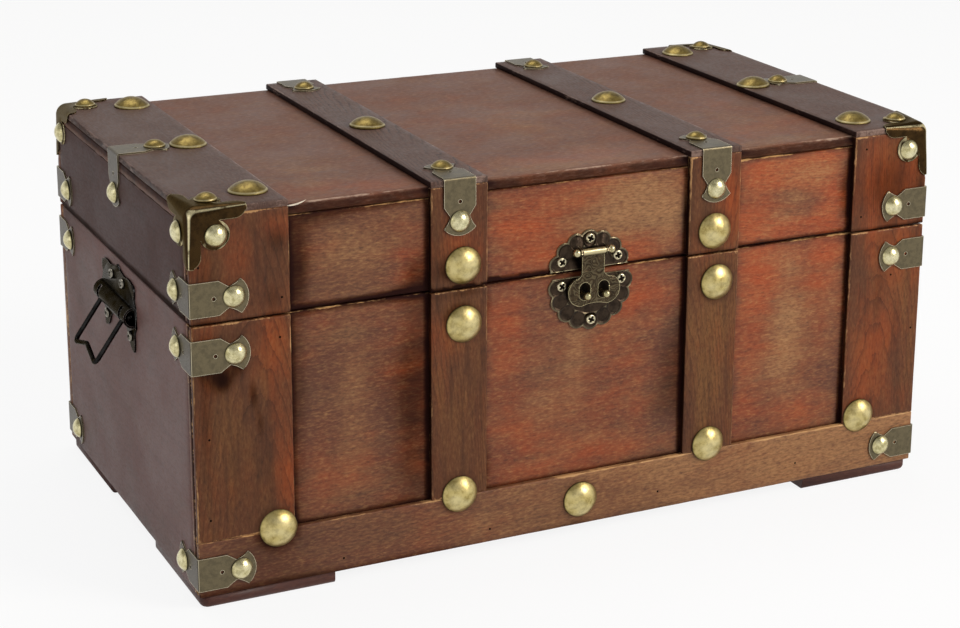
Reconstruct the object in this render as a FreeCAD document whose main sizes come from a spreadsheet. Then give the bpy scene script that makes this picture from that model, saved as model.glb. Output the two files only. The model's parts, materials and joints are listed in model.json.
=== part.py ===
import FreeCAD
import Part
import Sketcher
import math
import os
import re

# Sea chest: a low stained-wood chest with a flat lid, wooden straps, pressed metal
# corners and brackets, a split rosette latch with a swinging hasp, and a drop bail
# at each end. Millimetres. +X is the chest's right, -Y its front, +Z up. The origin
# is on the floor, under the middle of the carcass.

DRIVING_SIZES = [
    # the wooden box
    ("length", 380, "outside length, along X"),
    ("depth", 214, "outside depth, from the face of the front straps to the back board"),
    ("foot_height", 6, "height of the four feet"),
    ("base_height", 126.1, "height of the lower box, without its feet"),
    ("lid_gap", 0.7, "daylight between the lower box and the lid"),
    ("lid_height", 51.2, "height of the lid, over its straps"),
    ("side_board", 8, "thickness of the left and right boards"),
    ("front_board", 5, "thickness of the front and back boards"),
    ("top_board", 5, "thickness of the board of the lid"),
    ("floor_board", 5, "thickness of the board at the bottom"),
    ("top_ease", 2.5, "radius of the worn front edge of the lid's board"),
    # wooden straps and rail
    ("strap", 3, "thickness of the straps and of the rail"),
    ("end_strap_width", 45, "width of the straps at the left end"),
    ("right_strap_width", 43.2, "width of the straps at the right end, a little narrower by hand"),
    ("mid_strap_width", 28, "width of the two straps between them"),
    ("left_strap_x", -64.6, "centre of the left middle strap"),
    ("right_strap_x", 68.2, "centre of the right middle strap"),
    ("rail_height", 26, "height of the rail along the bottom of the front"),
    ("arris", 0.6, "radius of the sanded edges of straps and rail"),
    # feet
    ("foot_length", 63, "length of a foot along the front"),
    ("foot_depth", 69, "length of a foot along the side"),
    ("foot_inset", 1, "how far a foot stands back from the faces above it"),
    ("foot_corner", 4, "radius of a foot's upright outer corner"),
    ("foot_nose", 2.5, "radius of a foot's lower outer edges"),
    # pressed sheet metal
    ("sheet", 0.8, "thickness of corners, brackets and latch plates"),
    ("cap_reach", 26, "reach of a corner's tongues along the three edges"),
    ("cap_tongue", 5.2, "width of those tongues on each face"),
    ("cap_tip", 5.5, "length of the rounded tip of each tongue"),
    ("cap_lobe", 6.6, "radius of the round lobe on each face"),
    ("cap_lobe_in", 11.6, "centre of that lobe, from both edges"),
    ("cap_ball", 6, "outside radius of the corner itself"),
    ("cap_fold", 2, "outside radius of its folds at the tips of the tongues"),
    ("leg_width", 15.5, "width of an edge bracket"),
    ("leg_straight", 12.5, "length of the straight part of each leg"),
    ("leg_waist_at", 17, "where each leg is narrowest"),
    ("leg_waist", 9.4, "width there"),
    ("leg_points", 22.5, "where the two points of the fishtail are"),
    ("leg_reach", 26, "whole length of a leg"),
    ("leg_fold", 1.1, "outside radius of the bracket's fold"),
    ("nail_hole", 1.8, "diameter of the hole in each leg"),
    ("nail_hole_at", 10.2, "distance of that hole from the fold"),
    ("lid_bracket_up", 11.6, "centre of the lid's corner brackets, above the seam"),
    ("base_bracket_down", 14.3, "centre of the upper base brackets, below the seam"),
    ("low_bracket_up", 11.2, "centre of the lower base brackets, above the box's bottom"),
    ("side_bracket_y", 2, "centre of the brackets over the lid's left and right edges"),
    # domed nails
    ("stud", 17.6, "diameter of a large domed nail"),
    ("stud_dome", 4.2, "height of its dome"),
    ("stud_rim", 0.5, "height of its straight rim"),
    ("tack", 10.2, "diameter of a small domed nail"),
    ("tack_dome", 2.9, "height of its dome"),
    ("tack_rim", 0.3, "height of its straight rim"),
    ("tack_on_leg", 19.3, "distance of a small nail from its bracket's fold"),
    ("tack_on_cap", 12, "distance of a small nail from both edges of its corner"),
    ("lid_stud_up", 11.3, "large nails on the lid's front, above the seam"),
    ("lid_stud_off", 1.7, "the left one of those nails, to the right of its strap's middle"),
    ("base_stud_down_left", 16.6, "large nail under the seam on the left middle strap"),
    ("base_stud_down_right", 14.4, "the same nail on the right middle strap"),
    ("base_stud_off", 2.1, "both of those nails, to the right of their straps' middles"),
    ("low_stud_up_left", 27.2, "the left pair of large nails near the rail, above the box's bottom"),
    ("low_stud_up_right", 29.5, "the right pair of those nails"),
    ("low_stud_in", 36.9, "the outer one of the left pair, from the left end"),
    ("low_stud_in_right", 33.8, "the outer one of the right pair, from the right end"),
    ("rail_stud_x", -1.6, "the large nail on the rail"),
    ("top_stud_in", 33.7, "large nails at the lid's left corners, from the left end"),
    ("top_stud_in_right", 31.6, "the same nails at the right, from the right end"),
    ("top_stud_back", 20, "the same nails, from the front and the back"),
    ("mid_stud_in", 35.2, "large nails beside the side brackets, from the ends"),
    ("mid_stud_y", 1, "the row of four large nails across the lid"),
    # latch
    ("latch_x", 2.5, "middle of the latch"),
    ("rosette", 22, "radius over the tips of the latch plate's petals"),
    ("petal", 4.6, "radius of one petal"),
    ("petal_count", 16, "petals in a whole rosette"),
    ("upper_centre_drop", 2.7, "centre of the upper half, below the seam's middle"),
    ("upper_edge_rise", 0.8, "straight edge of the upper half, above the seam's middle"),
    ("lower_centre_drop", 7.4, "centre of the lower half, below the seam's middle"),
    ("lower_edge_drop", 2.8, "straight edge of the lower half, below the seam's middle"),
    ("lower_right", 1, "how far the lower half and its posts sit to the right of the upper half"),
    ("pin_rise", 10.2, "height of the latch's pin above the seam's middle"),
    ("pin_out", 5.4, "distance of that pin from the panel"),
    ("latch_pin", 0.8, "radius of that pin"),
    ("pin_ball", 2, "radius of the balls on its ends"),
    ("running_gap", 0.06, "radial clearance of a pin in a knuckle that turns on it"),
    ("ear_thickness", 1.2, "thickness of the ears that carry the pin"),
    ("ear_width", 4, "width of those ears"),
    ("end_gap", 0.3, "clearance at each end of a knuckle"),
    ("hasp_neck", 11.6, "width of the hasp's neck and length of its knuckle"),
    ("hasp_sheet", 1, "thickness of the hasp"),
    ("hasp_knuckle", 1.5, "outside radius of the hasp's knuckle"),
    ("hasp_shoulder_drop", 0.5, "where the neck begins to widen, below the seam's middle"),
    ("hasp_lobe", 7, "radius of the hasp's two lobes"),
    ("hasp_lobe_x", 6.5, "centres of the lobes, from the hasp's middle"),
    ("hasp_lobe_drop", 9.1, "centres of the lobes, below the seam's middle"),
    ("hasp_shoulder", 4.5, "radius of the hollow between neck and lobe"),
    ("hasp_cleft", 21, "radius of the shallow hollow between the lobes"),
    ("hasp_lean", 0.7, "how far the lobes and slots lie to the right of the neck"),
    ("slot_width", 5.8, "width of the hasp's two slots"),
    ("slot_height", 8.6, "height of those slots"),
    ("slot_x", 4.9, "centres of the slots, from the hasp's middle"),
    ("slot_drop", 9, "centres of the slots, below the seam's middle"),
    ("post_drop", 10.8, "the two posts, below the seam's middle"),
    ("post", 1.1, "radius of a post"),
    ("post_ball", 1.9, "radius of a post's head"),
    ("post_out", 7, "centre of that head, from the panel"),
    ("screw", 2.5, "radius of a screw's head"),
    ("screw_dome", 1.5, "height of a screw's head"),
    ("upper_screw_x", 14.6, "outer screws of the upper plate, from its middle"),
    ("upper_screw_rise", 5.4, "those screws, above the seam's middle"),
    ("upper_top_screw_rise", 15.3, "the top screw, above the seam's middle"),
    ("lower_screw_x", 15.6, "outer screws of the lower plate, from its middle"),
    ("lower_screw_drop", 6.3, "those screws, below the seam's middle"),
    ("lower_end_screw_drop", 24.4, "the bottom screw, below the seam's middle"),
    # handles at both ends
    ("handle_drop", 21.7, "pivot of a handle, below the seam's middle"),
    ("handle_shift", 2, "middle of both handles, behind the chest's middle"),
    ("plate_sheet", 1, "thickness of a handle's plate"),
    ("barrel", 5, "outside radius of the barrel pressed into that plate"),
    ("barrel_wall", 1, "thickness of the barrel's wall"),
    ("barrel_length", 50, "length of the barrel"),
    ("bail_slot_clear", 0.45, "clearance of the bail's legs in the barrel's slots"),
    ("bail_wire", 1.15, "radius of the bail's wire"),
    ("bail_clear", 0.45, "clearance of the bail's wire inside its barrel"),
    ("bail_width", 35.4, "distance between the middles of the bail's legs"),
    ("bail_length", 27, "distance of the bail's grip from its pivot"),
    ("bail_end", 23.5, "ends of the bail, from its middle"),
    ("bail_bend", 2.6, "radius of the bends at the middle of the wire"),
    ("bail_notch", 3.8, "depth of the notch in the grip"),
    ("bail_notch_x", -3.5, "place of that notch, from the bail's middle"),
    ("bail_rest", 35, "angle of the hanging bail from the upright, in degrees"),
    ("bail_swing", 110, "travel of the bail, in degrees"),
    ("handle_screw_in", 8.8, "upper screws of a handle, from its middle"),
    ("handle_screw_up", 12, "those screws, above the pivot"),
    ("handle_screw_out", 19, "lower screws of a handle, from its middle"),
    ("handle_screw_down", 10.4, "those screws, below the pivot"),
    # hinges at the back
    ("hinge_x", 110, "middles of the two hinges, from the chest's middle"),
    ("hinge_width", 30, "width of a hinge"),
    ("hinge_leaf", 14, "height of a leaf, from the pin"),
    ("hinge_sheet", 1, "thickness of a leaf"),
    ("hinge_knuckle", 2.2, "outside radius of a hinge's knuckles"),
    ("hinge_pin", 1.1, "radius of a hinge's pin"),
    ("hinge_head", 1.7, "radius of the heads on that pin"),
    ("hinge_clear", 0.3, "clearance between a hinge's knuckles and the back board"),
    ("hinge_tab", 9.7, "length of the lid's knuckle"),
    ("hinge_screw_x", 9, "screws of a leaf, from its middle"),
    ("hinge_screw_y", 9, "the same screws, from the pin"),
    ("hinge_screw", 2, "radius of a hinge screw's head"),
]

ALIASES = {alias for alias, value, meaning in DRIVING_SIZES}
FACES = {
    # face: (right, up, outward) as seen from outside
    "front": ((1, 0, 0), (0, 0, 1), (0, -1, 0)),
    "back": ((-1, 0, 0), (0, 0, 1), (0, 1, 0)),
    "left": ((0, -1, 0), (0, 0, 1), (-1, 0, 0)),
    "right": ((0, 1, 0), (0, 0, 1), (1, 0, 0)),
    "top": ((1, 0, 0), (0, 1, 0), (0, 0, 1)),
}
PARTS = []

doc = FreeCAD.newDocument("SeaChest")
sheet = doc.addObject("Spreadsheet::Sheet", "Sizes")
for row, (alias, value, meaning) in enumerate(DRIVING_SIZES, 1):
    sheet.set(f"A{row}", meaning)
    sheet.set(f"B{row}", str(value))
    sheet.setAlias(f"B{row}", alias)
doc.recompute()


def formula(text):
    """A formula in the sheet's aliases, such as 'length / 2', as a document expression."""
    return re.sub(r"[a-z_]+", lambda word: f"Sizes.{word[0]}" if word[0] in ALIASES else word[0], text)


def size(text):
    """The number that a formula gives."""
    return float(sheet.evalExpression(formula(text)))


SEAM = "(foot_height + base_height + lid_gap / 2)"
LID_BOTTOM = "(foot_height + base_height + lid_gap)"
TOP = "(foot_height + base_height + lid_gap + lid_height)"
OUTSIDE = "(-sheet - 1)"
HINGE_OUT = "(hinge_knuckle + hinge_clear)"
BAIL_OUT = "(plate_sheet + bail_wire + bail_clear)"
BAIL_SLOT = "(2 * bail_wire + 2 * bail_slot_clear)"


# ---------------------------------------------------------------- drawing helpers

def vector(x, y, z):
    return FreeCAD.Vector(x, y, z)


def axes(right, up, outward):
    """The rotation that turns local X, Y and Z to the three given directions."""
    return FreeCAD.Rotation(vector(*right), vector(*up), vector(*outward), "ZXY")


def on_face(face, across, up, out="0"):
    """A placement on a face of the chest: local Z points outward, local Y up.

    across and up are in the chest's frame: X and Z on the front and back, Y and Z
    on the left and right, X and Y on the top. out lifts it off the face.
    """
    half_length, half_depth = size("length / 2"), size("depth / 2")
    a, b, c = size(across), size(up), size(out)
    base = {
        "front": vector(a, -half_depth - c, b),
        "back": vector(a, half_depth + c, b),
        "left": vector(-half_length - c, a, b),
        "right": vector(half_length + c, a, b),
        "top": vector(a, b, size(TOP) + c),
    }[face]
    return FreeCAD.Placement(base, axes(*FACES[face]))


def new_body(label):
    body = doc.addObject("PartDesign::Body", label)
    body.Label = label
    return body


def new_sketch(body, role, name, offset=None):
    """A sketch on one of the body's own origin planes, lifted off it by a formula."""
    sketch = body.newObject("Sketcher::SketchObject", name)
    plane = next(f for f in body.Origin.OriginFeatures if f.Role == role)
    sketch.AttachmentSupport = [(plane, "")]
    sketch.MapMode = "FlatFace"
    if offset:
        sketch.setExpression("AttachmentOffset.Base.z", formula(offset))
    return sketch


def hold(sketch, kind, geometry, point, text):
    """Hold one coordinate of a point at a formula; kind is DistanceX or DistanceY."""
    if text == "0":
        axis = -2 if kind == "DistanceX" else -1
        sketch.addConstraint(Sketcher.Constraint("PointOnObject", geometry, point, axis))
    else:
        number = sketch.addConstraint(Sketcher.Constraint(kind, geometry, point, size(text)))
        sketch.setExpression(f"Constraints[{number}]", formula(text))


def pin_point(sketch, geometry, point, x, y):
    """Hold a point of a line or arc at x, y, each a formula."""
    hold(sketch, "DistanceX", geometry, point, x)
    hold(sketch, "DistanceY", geometry, point, y)


def draw_outline(sketch, corners, arcs=None):
    """Close an outline through corners, each a pair of formulas, anticlockwise.

    arcs maps a corner's number to the radius of the arc that leaves it: a formula
    for an arc that bulges outward, or the same after '-' for a hollow one.
    """
    arcs = arcs or {}
    points = [vector(size(x), size(y), 0) for x, y in corners]
    first = sketch.GeometryCount
    count = len(corners)
    leaving, arriving = {}, {}
    for i, start in enumerate(points):
        finish = points[(i + 1) % count]
        if i not in arcs:
            number = sketch.addGeometry(Part.LineSegment(start, finish))
            leaving[i], arriving[i] = (number, 1), (number, 2)
            continue
        hollow = arcs[i].startswith("-")
        text = arcs[i].lstrip("-")
        radius = size(text)
        chord = finish - start
        rise = math.sqrt(max(radius ** 2 - (chord.Length / 2) ** 2, 0))
        left = vector(-chord.y, chord.x, 0).normalize()
        centre = (start + finish) * 0.5 + left * (-rise if hollow else rise)
        angle = lambda p: math.atan2(p.y - centre.y, p.x - centre.x)
        ends = (finish, start) if hollow else (start, finish)
        circle = Part.Circle(centre, vector(0, 0, 1), radius)
        number = sketch.addGeometry(Part.ArcOfCircle(circle, angle(ends[0]), angle(ends[1])))
        leaving[i] = (number, 2 if hollow else 1)
        arriving[i] = (number, 1 if hollow else 2)
        if chord.Length < 2 * radius - 1e-6:
            limit = sketch.addConstraint(Sketcher.Constraint("Radius", number, radius))
            sketch.setExpression(f"Constraints[{limit}]", formula(text))
        else:
            level = abs(chord.y) < abs(chord.x)
            kind, text = ("DistanceY", corners[i][1]) if level else ("DistanceX", corners[i][0])
            hold(sketch, kind, number, 3, text)
    for i in range(count):
        sketch.addConstraint(Sketcher.Constraint("Coincident", *arriving[i], *leaving[(i + 1) % count]))
        pin_point(sketch, *leaving[i], *corners[i])
    return first


def draw_circle(sketch, x, y, radius):
    """A circle whose middle and radius are formulas."""
    middle = vector(size(x), size(y), 0)
    number = sketch.addGeometry(Part.Circle(middle, vector(0, 0, 1), size(radius)))
    pin_point(sketch, number, 3, x, y)
    limit = sketch.addConstraint(Sketcher.Constraint("Radius", number, size(radius)))
    sketch.setExpression(f"Constraints[{limit}]", formula(radius))


def rectangle(x0, y0, x1, y1):
    return [(x0, y0), (x1, y0), (x1, y1), (x0, y1)]


def pad(body, sketch, length, symmetric=False, downward=False):
    feature = body.newObject("PartDesign::Pad", sketch.Name + "_pad")
    feature.Profile = sketch
    feature.SideType = "Symmetric" if symmetric else "One side"
    feature.Reversed = downward
    feature.setExpression("Length", formula(length))
    doc.recompute()
    return feature


def pocket(body, sketch, length, symmetric=False, upward=False):
    """Cut a sketch's shape away; the volume has to fall."""
    before = body.Shape.Volume
    feature = body.newObject("PartDesign::Pocket", sketch.Name + "_cut")
    feature.Profile = sketch
    feature.SideType = "Symmetric" if symmetric else "One side"
    feature.Reversed = upward
    feature.setExpression("Length", formula(length))
    doc.recompute()
    if not feature.Shape.Volume < before - 1e-6:
        raise RuntimeError(f"{feature.Name} cuts nothing from {body.Label}")
    return feature


def mirror(body, features, role):
    """Repeat features on the other side of one of the body's origin planes."""
    feature = body.newObject("PartDesign::Mirrored", features[0].Name + "_mirror")
    feature.Originals = features
    feature.MirrorPlane = (next(f for f in body.Origin.OriginFeatures if f.Role == role), [""])
    body.Tip = feature
    doc.recompute()
    return feature


def round_edges(body, radius, chosen):
    """Fillet the edges for which chosen(middle, direction) is true."""
    doc.recompute()
    tip = body.Tip
    names = []
    for number, edge in enumerate(tip.Shape.Edges, 1):
        direction = edge.tangentAt(edge.FirstParameter)
        if chosen(edge.CenterOfMass, direction):
            names.append(f"Edge{number}")
    if not names:
        raise RuntimeError(f"no edge to round on {body.Label}")
    feature = body.newObject("PartDesign::Fillet", body.Name + "_edges")
    feature.Base = (tip, names)
    feature.setExpression("Radius", formula(radius))
    doc.recompute()
    return feature


def keep(piece):
    """Note a finished sub-part, which is written to a file of its own."""
    PARTS.append(piece)
    return piece


def copies(label, pattern, placements):
    """One node that holds separate copies of a pattern piece."""
    group = doc.addObject("Part::Feature", label)
    group.Label = label
    solids = []
    for placement in placements:
        solid = pattern.Shape.copy()
        solid.Placement = placement
        solids.append(solid)
    group.Shape = Part.Compound(solids) if len(solids) > 1 else solids[0]
    return keep(group)


# ---------------------------------------------------------------- wooden pieces

def board(label, corner, extent):
    """A straight board from its lowest corner, with its length, width and height."""
    body = new_body(label)
    outline = new_sketch(body, "XY_Plane", label + "_plan")
    draw_outline(outline, rectangle("0", "0", extent[0], extent[1]))
    pad(body, outline, extent[2])
    for axis, text in zip("xyz", corner):
        body.setExpression(f"Placement.Base.{axis}", formula(text))
    return body


def sand(body, outward, along, upper):
    """Round the long edges of a strap on its outer face.

    outward is the face's normal and along the strap's run, both as letters of the
    body's own axes; upper says whether the outer face is at the axis's high end.
    """
    box = body.Shape.BoundBox
    span = {"x": (box.XMin, box.XMax), "y": (box.YMin, box.YMax), "z": (box.ZMin, box.ZMax)}
    shift = body.Placement.Base
    outer = span[outward][1 if upper else 0] - getattr(shift, outward)

    def chosen(middle, direction):
        at_face = abs(getattr(middle, outward) - outer) < 1e-6
        return at_face and abs(getattr(direction, along)) > 0.99
    round_edges(body, "arris", chosen)


STRAPS = {
    # name: (left edge, width)
    "left_end": ("-length / 2", "end_strap_width"),
    "left_middle": ("left_strap_x - mid_strap_width / 2", "mid_strap_width"),
    "right_middle": ("right_strap_x - mid_strap_width / 2", "mid_strap_width"),
    "right_end": ("length / 2 - right_strap_width", "right_strap_width"),
}


def box_walls(prefix, bottom, height):
    """The four walls of the lower box or of the lid; front and back lap the sides."""
    inner = "depth - strap - 2 * front_board"
    return [
        board(prefix + "_front_board", ("-length / 2", "-depth / 2 + strap", bottom),
              ("length", "front_board", height)),
        board(prefix + "_back_board", ("-length / 2", "depth / 2 - front_board", bottom),
              ("length", "front_board", height)),
        board(prefix + "_left_board", ("-length / 2", "-depth / 2 + strap + front_board", bottom),
              ("side_board", inner, height)),
        board(prefix + "_right_board", ("length / 2 - side_board", "-depth / 2 + strap + front_board", bottom),
              ("side_board", inner, height)),
    ]


def base_box():
    for wall in box_walls("base", "foot_height", "base_height"):
        keep(wall)
    keep(board("base_floor_board",
               ("-length / 2 + side_board", "-depth / 2 + strap + front_board", "foot_height"),
               ("length - 2 * side_board", "depth - strap - 2 * front_board", "floor_board")))
    rail = keep(board("base_bottom_rail", ("-length / 2", "-depth / 2", "foot_height"),
                      ("length", "strap", "rail_height")))
    sand(rail, "y", "x", False)
    for name, (left, width) in STRAPS.items():
        strap = keep(board("base_strap_" + name, (left, "-depth / 2", "foot_height + rail_height"),
                           (width, "strap", "base_height - rail_height")))
        sand(strap, "y", "z", False)


def foot(label, side, end):
    """A flat corner foot; side is -1 on the left, end is -1 at the front."""
    body = new_body(label)
    plan = new_sketch(body, "XY_Plane", label + "_plan")
    draw_outline(plan, rectangle("0", "0", "foot_length", "foot_depth"))
    pad(body, plan, "foot_height")
    far_x = size("foot_length") if side > 0 else 0
    far_y = size("foot_depth") if end > 0 else 0

    def upright(middle, direction):
        outer = abs(middle.x - far_x) < 1e-6 and abs(middle.y - far_y) < 1e-6
        return outer and abs(direction.z) > 0.99
    round_edges(body, "foot_corner", upright)

    def nose(middle, direction):
        low = abs(middle.z) < 1e-6
        inner_x = abs(middle.x - (size("foot_length") - far_x)) < 1e-6
        inner_y = abs(middle.y - (size("foot_depth") - far_y)) < 1e-6
        return low and not inner_x and not inner_y
    round_edges(body, "foot_nose", nose)
    x = "length / 2 - foot_inset - foot_length" if side > 0 else "-length / 2 + foot_inset"
    y = "depth / 2 - foot_inset - foot_depth" if end > 0 else "-depth / 2 + foot_inset"
    body.setExpression("Placement.Base.x", formula(x))
    body.setExpression("Placement.Base.y", formula(y))
    return keep(body)


# ---------------------------------------------------------------- pressed corners

def block(label, edge, start):
    """A cube that reaches from the corner, with the three edges that meet there rounded."""
    cube = doc.addObject("Part::Box", label + "_cube")
    for length in ("Length", "Width", "Height"):
        cube.setExpression(length, formula(edge))
    for axis in "xyz":
        cube.setExpression(f"Placement.Base.{axis}", formula(start))
    doc.recompute()
    return cube


def rounded_block(label, edge, start, ball, fold):
    """The cube with its three edges rounded: ball at the corner, fold at their far ends."""
    cube = block(label, edge, start)
    corner = vector(size(start), size(start), size(start))
    edges = []
    for number, line in enumerate(cube.Shape.Edges, 1):
        ends = [line.valueAt(line.FirstParameter), line.valueAt(line.LastParameter)]
        if (ends[0] - corner).Length < 1e-6:
            edges.append((number, size(ball), size(fold)))
        elif (ends[1] - corner).Length < 1e-6:
            edges.append((number, size(fold), size(ball)))
    rounded = doc.addObject("Part::Fillet", label)
    rounded.Base = cube
    rounded.Edges = edges
    doc.recompute()
    return rounded


def cap_face(label, role):
    """What a corner keeps on one face: two tongues along the edges and a round lobe."""
    body = new_body(label)
    outline = new_sketch(body, role, label + "_outline")
    tip, bend = "cap_reach", "cap_reach - cap_tip"
    notch = "cap_lobe_in + sqrt(cap_lobe ^ 2 - (cap_lobe_in - cap_tongue) ^ 2)"
    far = "cap_lobe_in + cap_lobe * sqrt(0.5)"
    draw_outline(outline, [
        (OUTSIDE, OUTSIDE), (tip, OUTSIDE), (tip, "0"), (bend, "cap_tongue"), (notch, "cap_tongue"),
        (far, far), ("cap_tongue", notch), ("cap_tongue", bend), ("0", tip), (OUTSIDE, tip),
    ], {2: "cap_tip", 4: "cap_lobe", 5: "cap_lobe", 7: "cap_tip"})
    pad(body, outline, f"cap_fold - {OUTSIDE}")
    return body


def cap_pattern():
    """A pressed corner, in a frame whose origin is the wood's corner and whose axes
    run along the three edges."""
    outer = rounded_block("cap_outside", "cap_reach + sheet + 1", "-sheet", "cap_ball", "cap_fold")
    inner = rounded_block("cap_inside", "cap_reach + 2", "0", "cap_ball - sheet", "cap_fold - sheet")
    wall = doc.addObject("Part::Cut", "cap_wall")
    wall.Base, wall.Tool = outer, inner
    keeps = []
    for name, role, shift, flip in (("cap_keep_xy", "XY_Plane", "z", False),
                                    ("cap_keep_yz", "YZ_Plane", "x", False),
                                    ("cap_keep_xz", "XZ_Plane", "y", True)):
        body = cap_face(name, role)
        feature = body.Tip
        feature.Reversed = flip
        body.setExpression(f"Placement.Base.{shift}", formula(OUTSIDE))
        keeps.append(body)
    keeps.append(block("cap_keep_ball", f"cap_ball - {OUTSIDE}", OUTSIDE))
    doc.recompute()
    union = doc.addObject("Part::MultiFuse", "cap_keep")
    union.Shapes = keeps
    cap = doc.addObject("Part::MultiCommon", "cap_pattern")
    cap.Shapes = [wall, union]
    doc.recompute()
    return cap


def corner_placement(side, end):
    """The frame of a pressed corner at a top corner of the lid."""
    base = vector(side * size("length / 2"), end * size("depth / 2"), size(TOP))
    inward = [vector(-side, 0, 0), vector(0, -end, 0), vector(0, 0, -1)]
    if side * end < 0:
        right, up = inward[0], inward[1]
    else:
        right, up = inward[1], inward[0]
    down = right.cross(up)
    if down.z > 0:
        right, up = up, right
        down = right.cross(up)
    return FreeCAD.Placement(base, FreeCAD.Rotation(right, up, down, "ZXY"))


CORNERS = {
    "front_left": (-1, -1), "front_right": (1, -1),
    "back_left": (-1, 1), "back_right": (1, 1),
}


def wood_rounding():
    """What is sanded off the lid's four top corners, so that the metal can lie on them."""
    cutters = []
    for name, (side, end) in CORNERS.items():
        cube = block("sharp_" + name, "cap_reach", "0")
        round_ = rounded_block("round_" + name, "cap_reach + 2", "0", "cap_ball - sheet", "cap_fold - sheet")
        cut = doc.addObject("Part::Cut", "sanded_" + name)
        cut.Base, cut.Tool = cube, round_
        cut.Placement = corner_placement(side, end)
        cutters.append(cut)
    doc.recompute()
    return cutters


def sanded(body, cutters):
    """The body less the lid's rounded corners, under the body's own name."""
    label = body.Label
    reached = []
    for cutter in cutters:
        if body.Shape.common(cutter.Shape).Volume > 1e-6:
            reached.append(cutter)
    if not reached:
        return keep(body)
    body.Label = label + "_blank"
    tool = reached[0]
    if len(reached) > 1:
        tool = doc.addObject("Part::Compound", label + "_sanding")
        tool.Links = reached
    piece = doc.addObject("Part::Cut", label)
    piece.Label = label
    piece.Base, piece.Tool = body, tool
    doc.recompute()
    return keep(piece)


def lid_box(cutters):
    wall_height = "lid_height - strap - top_board"
    pieces = box_walls("lid", LID_BOTTOM, wall_height)
    top = board("lid_top_board", ("-length / 2", "-depth / 2 + strap", f"{LID_BOTTOM} + {wall_height}"),
                ("length", "depth - strap", "top_board"))

    def front_top(middle, direction):
        return abs(middle.y) < 1e-6 and middle.z > size("top_board") - 1e-6
    round_edges(top, "top_ease", front_top)
    pieces.append(top)
    for name, (left, width) in STRAPS.items():
        strap = board("lid_top_strap_" + name, (left, "-depth / 2", f"{TOP} - strap"),
                      (width, "depth", "strap"))
        sand(strap, "z", "y", True)
        pieces.append(strap)
        strap = board("lid_front_strap_" + name, (left, "-depth / 2", LID_BOTTOM),
                      (width, "strap", "lid_height - strap"))
        sand(strap, "y", "z", False)
        pieces.append(strap)
    for piece in pieces:
        sanded(piece, cutters)


# ---------------------------------------------------------------- brackets and nails

def leg_outline(sketch):
    """One leg of a bracket: straight, then a waist, then a fishtail with a round end."""
    half, waist = "leg_width / 2", "leg_waist / 2"
    side = [("-sheet", half), ("leg_straight", half), ("leg_waist_at", waist), ("leg_points", half)]
    corners = [(x, f"-({y})") for x, y in side] + side[::-1]
    bulge = "((leg_width / 2) ^ 2 + (leg_reach - leg_points) ^ 2) / (2 * (leg_reach - leg_points))"
    draw_outline(sketch, corners, {2: "-leg_width", 3: bulge, 4: "-leg_width"})
    draw_circle(sketch, "nail_hole_at", "0", "nail_hole / 2")


def bracket_pattern():
    """A bent bracket: its fold runs along local Y, one leg lies on local Z = 0 along +X,
    the other on local X = 0 along -Z."""
    body = new_body("bracket_pattern")
    flat = new_sketch(body, "XY_Plane", "bracket_flat_leg")
    leg_outline(flat)
    pad(body, flat, "sheet")
    upright = new_sketch(body, "YZ_Plane", "bracket_upright_leg")
    draw_leg_upright(upright)
    pad(body, upright, "sheet", downward=True)

    def fold(middle, direction):
        at_edge = abs(middle.x + size("sheet")) < 1e-6 and abs(middle.z - size("sheet")) < 1e-6
        return at_edge and abs(direction.y) > 0.99
    round_edges(body, "leg_fold", fold)
    return body


def draw_leg_upright(sketch):
    """The second leg, drawn on the YZ plane: its run is -Z, which is the sketch's -Y."""
    half, waist = "leg_width / 2", "leg_waist / 2"
    side = [(half, "sheet"), (half, "-leg_straight"), (waist, "-leg_waist_at"), (half, "-leg_points")]
    left = [(f"-({x})", y) for x, y in side]
    corners = left + side[::-1]
    bulge = "((leg_width / 2) ^ 2 + (leg_reach - leg_points) ^ 2) / (2 * (leg_reach - leg_points))"
    draw_outline(sketch, corners, {2: "-leg_width", 3: bulge, 4: "-leg_width"})
    draw_circle(sketch, "0", "-nail_hole_at", "nail_hole / 2")


def across_edge(position, first, second):
    """The frame of a bracket over the edge between two faces of the chest."""
    outward = vector(*FACES[first][2])
    right = vector(*FACES[second][2]) * -1
    turn = FreeCAD.Rotation(right, outward.cross(right), outward, "ZXY")
    return FreeCAD.Placement(vector(*position), turn)


def leg_tacks(placement):
    """Frames of the two small nails through a bracket's legs."""
    reach, lift = size("tack_on_leg"), size("sheet")
    first = FreeCAD.Placement(vector(reach, 0, lift), FreeCAD.Rotation())
    outward = FreeCAD.Rotation(vector(0, 1, 0), -90)
    second = FreeCAD.Placement(vector(-lift, 0, -reach), outward)
    return [placement.multiply(first), placement.multiply(second)]


def domed_head(label, diameter, dome, rim):
    """A domed nail head: a short straight rim under a spherical dome, turned about Z."""
    body = new_body(label)
    profile = new_sketch(body, "XZ_Plane", label + "_profile")
    rise = f"(({diameter}) / 2)"
    radius = f"({rise} ^ 2 + ({dome}) ^ 2) / (2 * ({dome}))"
    draw_outline(profile, [("0", "0"), (rise, "0"), (rise, rim), ("0", f"{rim} + {dome}")], {2: radius})
    turned = body.newObject("PartDesign::Revolution", label + "_turned")
    turned.Profile = profile
    turned.ReferenceAxis = (profile, ["V_Axis"])
    turned.Angle = 360
    doc.recompute()
    return body


def corner_brackets(height):
    """Frames of four brackets round the upright edges, at one height."""
    half_length, half_depth = size("length / 2"), size("depth / 2")
    frames = []
    for side, end in CORNERS.values():
        position = (side * half_length, end * half_depth, size(height))
        front = "front" if end < 0 else "back"
        flank = "left" if side < 0 else "right"
        frames.append(across_edge(position, front, flank))
    return frames


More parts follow.
